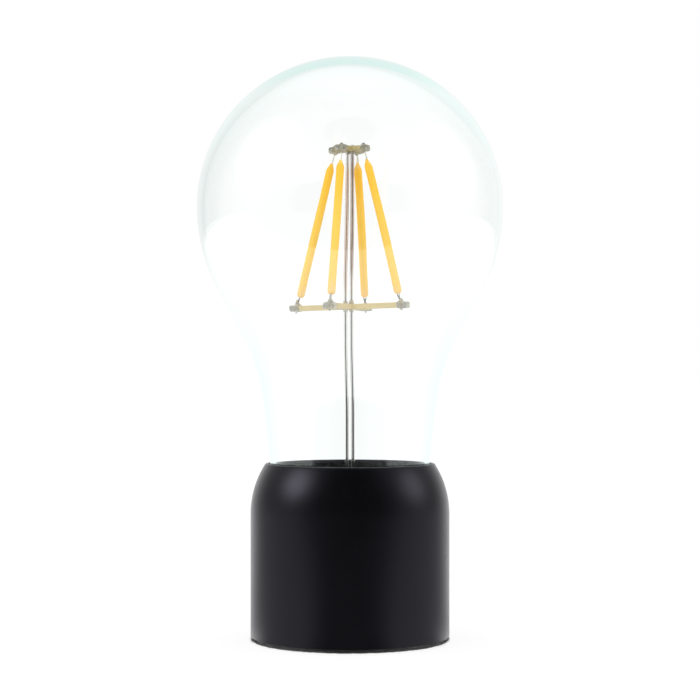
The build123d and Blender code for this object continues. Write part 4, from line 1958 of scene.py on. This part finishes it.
@dataclass
class Surroundings:
    """The lit world: white to the eye, and a room with darker parts in reflections."""

    lamps: tuple[SoftLamp, ...]
    wall: BackWall = BackWall()
    ambient: float = 0.86
    glass_gain: float = 0.60
    side_level: float = 0.27
    side_step: tuple[float, float] = (0.85, 0.3)
    wall_top: tuple[float, float, float, float] = (0.0, 0.45, 1.0, 0.25)
    low_level: float = 0.04
    low_step: tuple[float, float] = (0.25, -0.05)
    satin_patch: tuple[float, float] = (7.0, 19.0)
    room: float = 0.37
    room_right: float = 0.12
    right_step: tuple[float, float] = (0.0, 0.5)
    room_behind: float = 0.9
    behind_step: tuple[float, float] = (-0.45, -1.0)
    front_step: tuple[float, float] = (0.1, 0.7)
    front_top: tuple[float, float, float, float] = (0.5, 0.1, 0.0, 0.3)
    ceiling: tuple[float, float, float] = (0.0, -0.5, 0.866)
    ceiling_patch: tuple[float, float] = (15.0, 60.0)
    ceiling_dark: float = 0.18
    glass_patch: tuple[float, float] = (8.0, 30.0)
    glass_lamp: float = 0.5
    under_step: tuple[float, float] = (0.005, -0.02)
    under_wider: float = 0.24
    under_darker: float = 0.02
    band_step: tuple[float, float] = (0.80, 0.98)
    band_top: tuple[float, float] = (0.5, 0.05)
    band_dark: float = 0.96

    def satin(self, sight: Sight) -> Wire:
        """Paint what satin pieces mirror: dark in front, brighter behind, and the lamps.

        Args:
            sight: The ray's way.

        Returns:
            The level.
        """
        paint = sight.paint
        behind = self.wall.shown(paint, sight.ahead) * paint.step(sight.rise, *self.wall_top)
        level = paint.step(sight.ahead, *self.side_step, 0.0, self.side_level) + behind
        level = level + self.low_level * paint.step(sight.rise, *self.low_step)
        for lamp in self.lamps:
            level = level + sight.patch(lamp.way, *self.satin_patch) * lamp.mirrored
        return level

    def clear(self, sight: Sight) -> Wire:
        """Paint what glass mirrors: a grey room, darker above and in front, and the lamps.

        Args:
            sight: The ray's way.

        Returns:
            The level.
        """
        paint = sight.paint
        more = self.room_behind - self.room
        level = paint.step(sight.ahead, *self.behind_step, 0.0, more)
        right = (*self.right_step, self.room, self.room + self.room_right)
        level = level + paint.step(sight.right, *right)
        level = level - sight.patch(Vector(self.ceiling), *self.ceiling_patch) * self.ceiling_dark
        front = paint.step(sight.ahead, *self.front_step)
        level = level - front * paint.step(sight.rise, *self.front_top)
        for lamp in self.lamps:
            patch = sight.patch(lamp.way, *self.glass_patch)
            level = level + patch * lamp.mirrored * self.glass_lamp
        return level

    def steel(self, sight: Sight) -> Wire:
        """Paint what the rods mirror through the glass: white, with a dark band in front.

        Args:
            sight: The ray's way.

        Returns:
            The level.
        """
        paint = sight.paint
        under = paint.step(sight.rise, *self.under_step)
        band = paint.step(sight.ahead + under * self.under_wider, *self.band_step)
        band = band * paint.step(sight.rise, *self.band_top)
        return 1 - band * (self.band_dark + under * self.under_darker)

    def build(self) -> None:
        """Light the world by what kind of ray asks, and through how much glass."""
        world = bpy.data.worlds.new("white_studio")
        bpy.context.scene.world = world
        world.use_nodes = True
        world.cycles.sampling_method = "NONE"
        world.node_tree.nodes.clear()
        paint = Painter(world.node_tree)
        sight = Sight(paint)
        through = paint.path("Is Transmission Ray")
        single = paint.path("Is Singular Ray")
        walls_passed = paint.path("Transmission Depth") > 3.5
        diffuse = paint.path("Diffuse Depth") > 0.5
        shiny = paint.path("Glossy Depth") > 0.5
        smooth = walls_passed * self.steel(sight) + (1 - walls_passed) * self.clear(sight)
        mirrored = single * smooth + (1 - single) * self.satin(sight)
        straight = shiny * mirrored + (1 - shiny) * (1 + through * WHITE_GAIN)
        soft = self.ambient + through * self.glass_gain
        level = diffuse * soft + (1 - diffuse) * straight
        shader = paint.node("Background", {"Color": level, "Strength": 1.0})
        end = world.node_tree.nodes.new("ShaderNodeOutputWorld")
        plug(world.node_tree, end.inputs["Surface"], shader)


@dataclass
class Floor:
    """The white floor, which keeps a faint shadow and is darker in front in reflections."""

    wall: BackWall = BackWall()
    grain: float = 2 * MM
    pulp: tuple[Colour, Colour] = ((0.93, 0.93, 0.93, 1.0), (0.97, 0.97, 0.97, 1.0))
    glow: float = 1.1
    plain: float = 0.76
    front_level: float = 0.10
    side_level: float = 0.40
    side_step: tuple[float, float] = (0.92, 0.42)
    foot: float = 22.3 * MM
    half: float = 3.0
    edge: float = 0.17
    drop: float = 0.3 * MM

    def satin(self, paint: Painter) -> Wire:
        """Paint what satin pieces mirror of it, which turns with the way from the foot.

        Args:
            paint: The floor's painter.

        Returns:
            The level.
        """
        right, back, _ = paint.axes(paint.place())
        away = level_length(right, back)
        facing = (0 - back) / away
        close = facing.highest(0.0) ** 2.0 * 2 - 1
        ahead = facing + (close - facing) * self.foot / away
        level = self.front_level + paint.step(ahead, *self.side_step, 0.0, self.side_level)
        return level + self.wall.shown(paint, ahead)

    def material(self) -> bpy.types.Material:
        """Paint the floor by what kind of ray asks.

        Returns:
            The material.
        """
        paint = Painter.material("white_floor")
        gloss = paint.path("Is Glossy Ray")
        through = paint.path("Is Transmission Ray")
        single = paint.path("Is Singular Ray")
        plain = paint.path("Is Camera Ray").highest(through).highest(single)
        grain = paint.noise(paint.place(), self.grain, 3.0)
        paper = paint.node("BsdfDiffuse", {"Color": paint.blend(grain, *self.pulp)})
        glow = paint.glow(self.glow + through * WHITE_GAIN)
        seen = paint.mix(plain * self.plain, paper, glow)
        share = gloss * (1 - through) * (1 - single)
        return paint.finish(paint.mix(share, seen, paint.glow(self.satin(paint))))

    def build(self) -> None:
        """Lay the floor."""
        bm = bmesh.new()
        bmesh.ops.create_grid(bm, x_segments=1, y_segments=1, size=self.half)
        place = Matrix.Translation((0, self.half - self.edge, -self.drop))
        mesh = meshed("floor", moved(bm, place))
        mesh.materials.append(self.material())
        floor = linked("floor", mesh)


@dataclass
class Studio:
    """The white studio: its surroundings, its floor, two soft lamps and the camera."""

    eye: tuple[float, float, float] = (0.0, -0.430, 0.0608)
    focal: float = 98.74
    sensor: float = 36.0
    rise: float = 17 / 700
    near_clip: float = 0.01
    lamps: tuple[SoftLamp, ...] = (
        SoftLamp("lamp_left", -75.5, 32.0, 2.9, 1.8),
        SoftLamp("lamp_right", 88.0, 26.0, 1.5, 1.1),
    )

    def camera(self) -> None:
        """Stand the camera where the photograph was taken from."""
        lens = bpy.data.cameras.new("camera")
        lens.lens = self.focal
        lens.sensor_width = self.sensor
        lens.shift_y = self.rise
        lens.clip_start = self.near_clip
        made = linked("camera", lens)
        made.location = self.eye
        made.rotation_euler = (math.pi / 2, 0, 0)
        bpy.context.scene.camera = made

    def build(self) -> None:
        """Set up the studio."""
        Surroundings(self.lamps).build()
        Floor().build()
        for lamp in self.lamps:
            lamp.hang()
        self.camera()
        bpy.context.scene.view_settings.view_transform = "Standard"


def main() -> None:
    """Build the lamp's pieces in order, dress the kept nodes and set up the studio."""
    logging.basicConfig(level=logging.INFO, format="%(message)s")
    GlassBulb().build()
    Cap().build()
    GlueRing().build()
    FeltFoot().build()
    Cage().build()
    KeptNodes().dress()
    Studio().build()


if __name__ == "__main__":
    main()
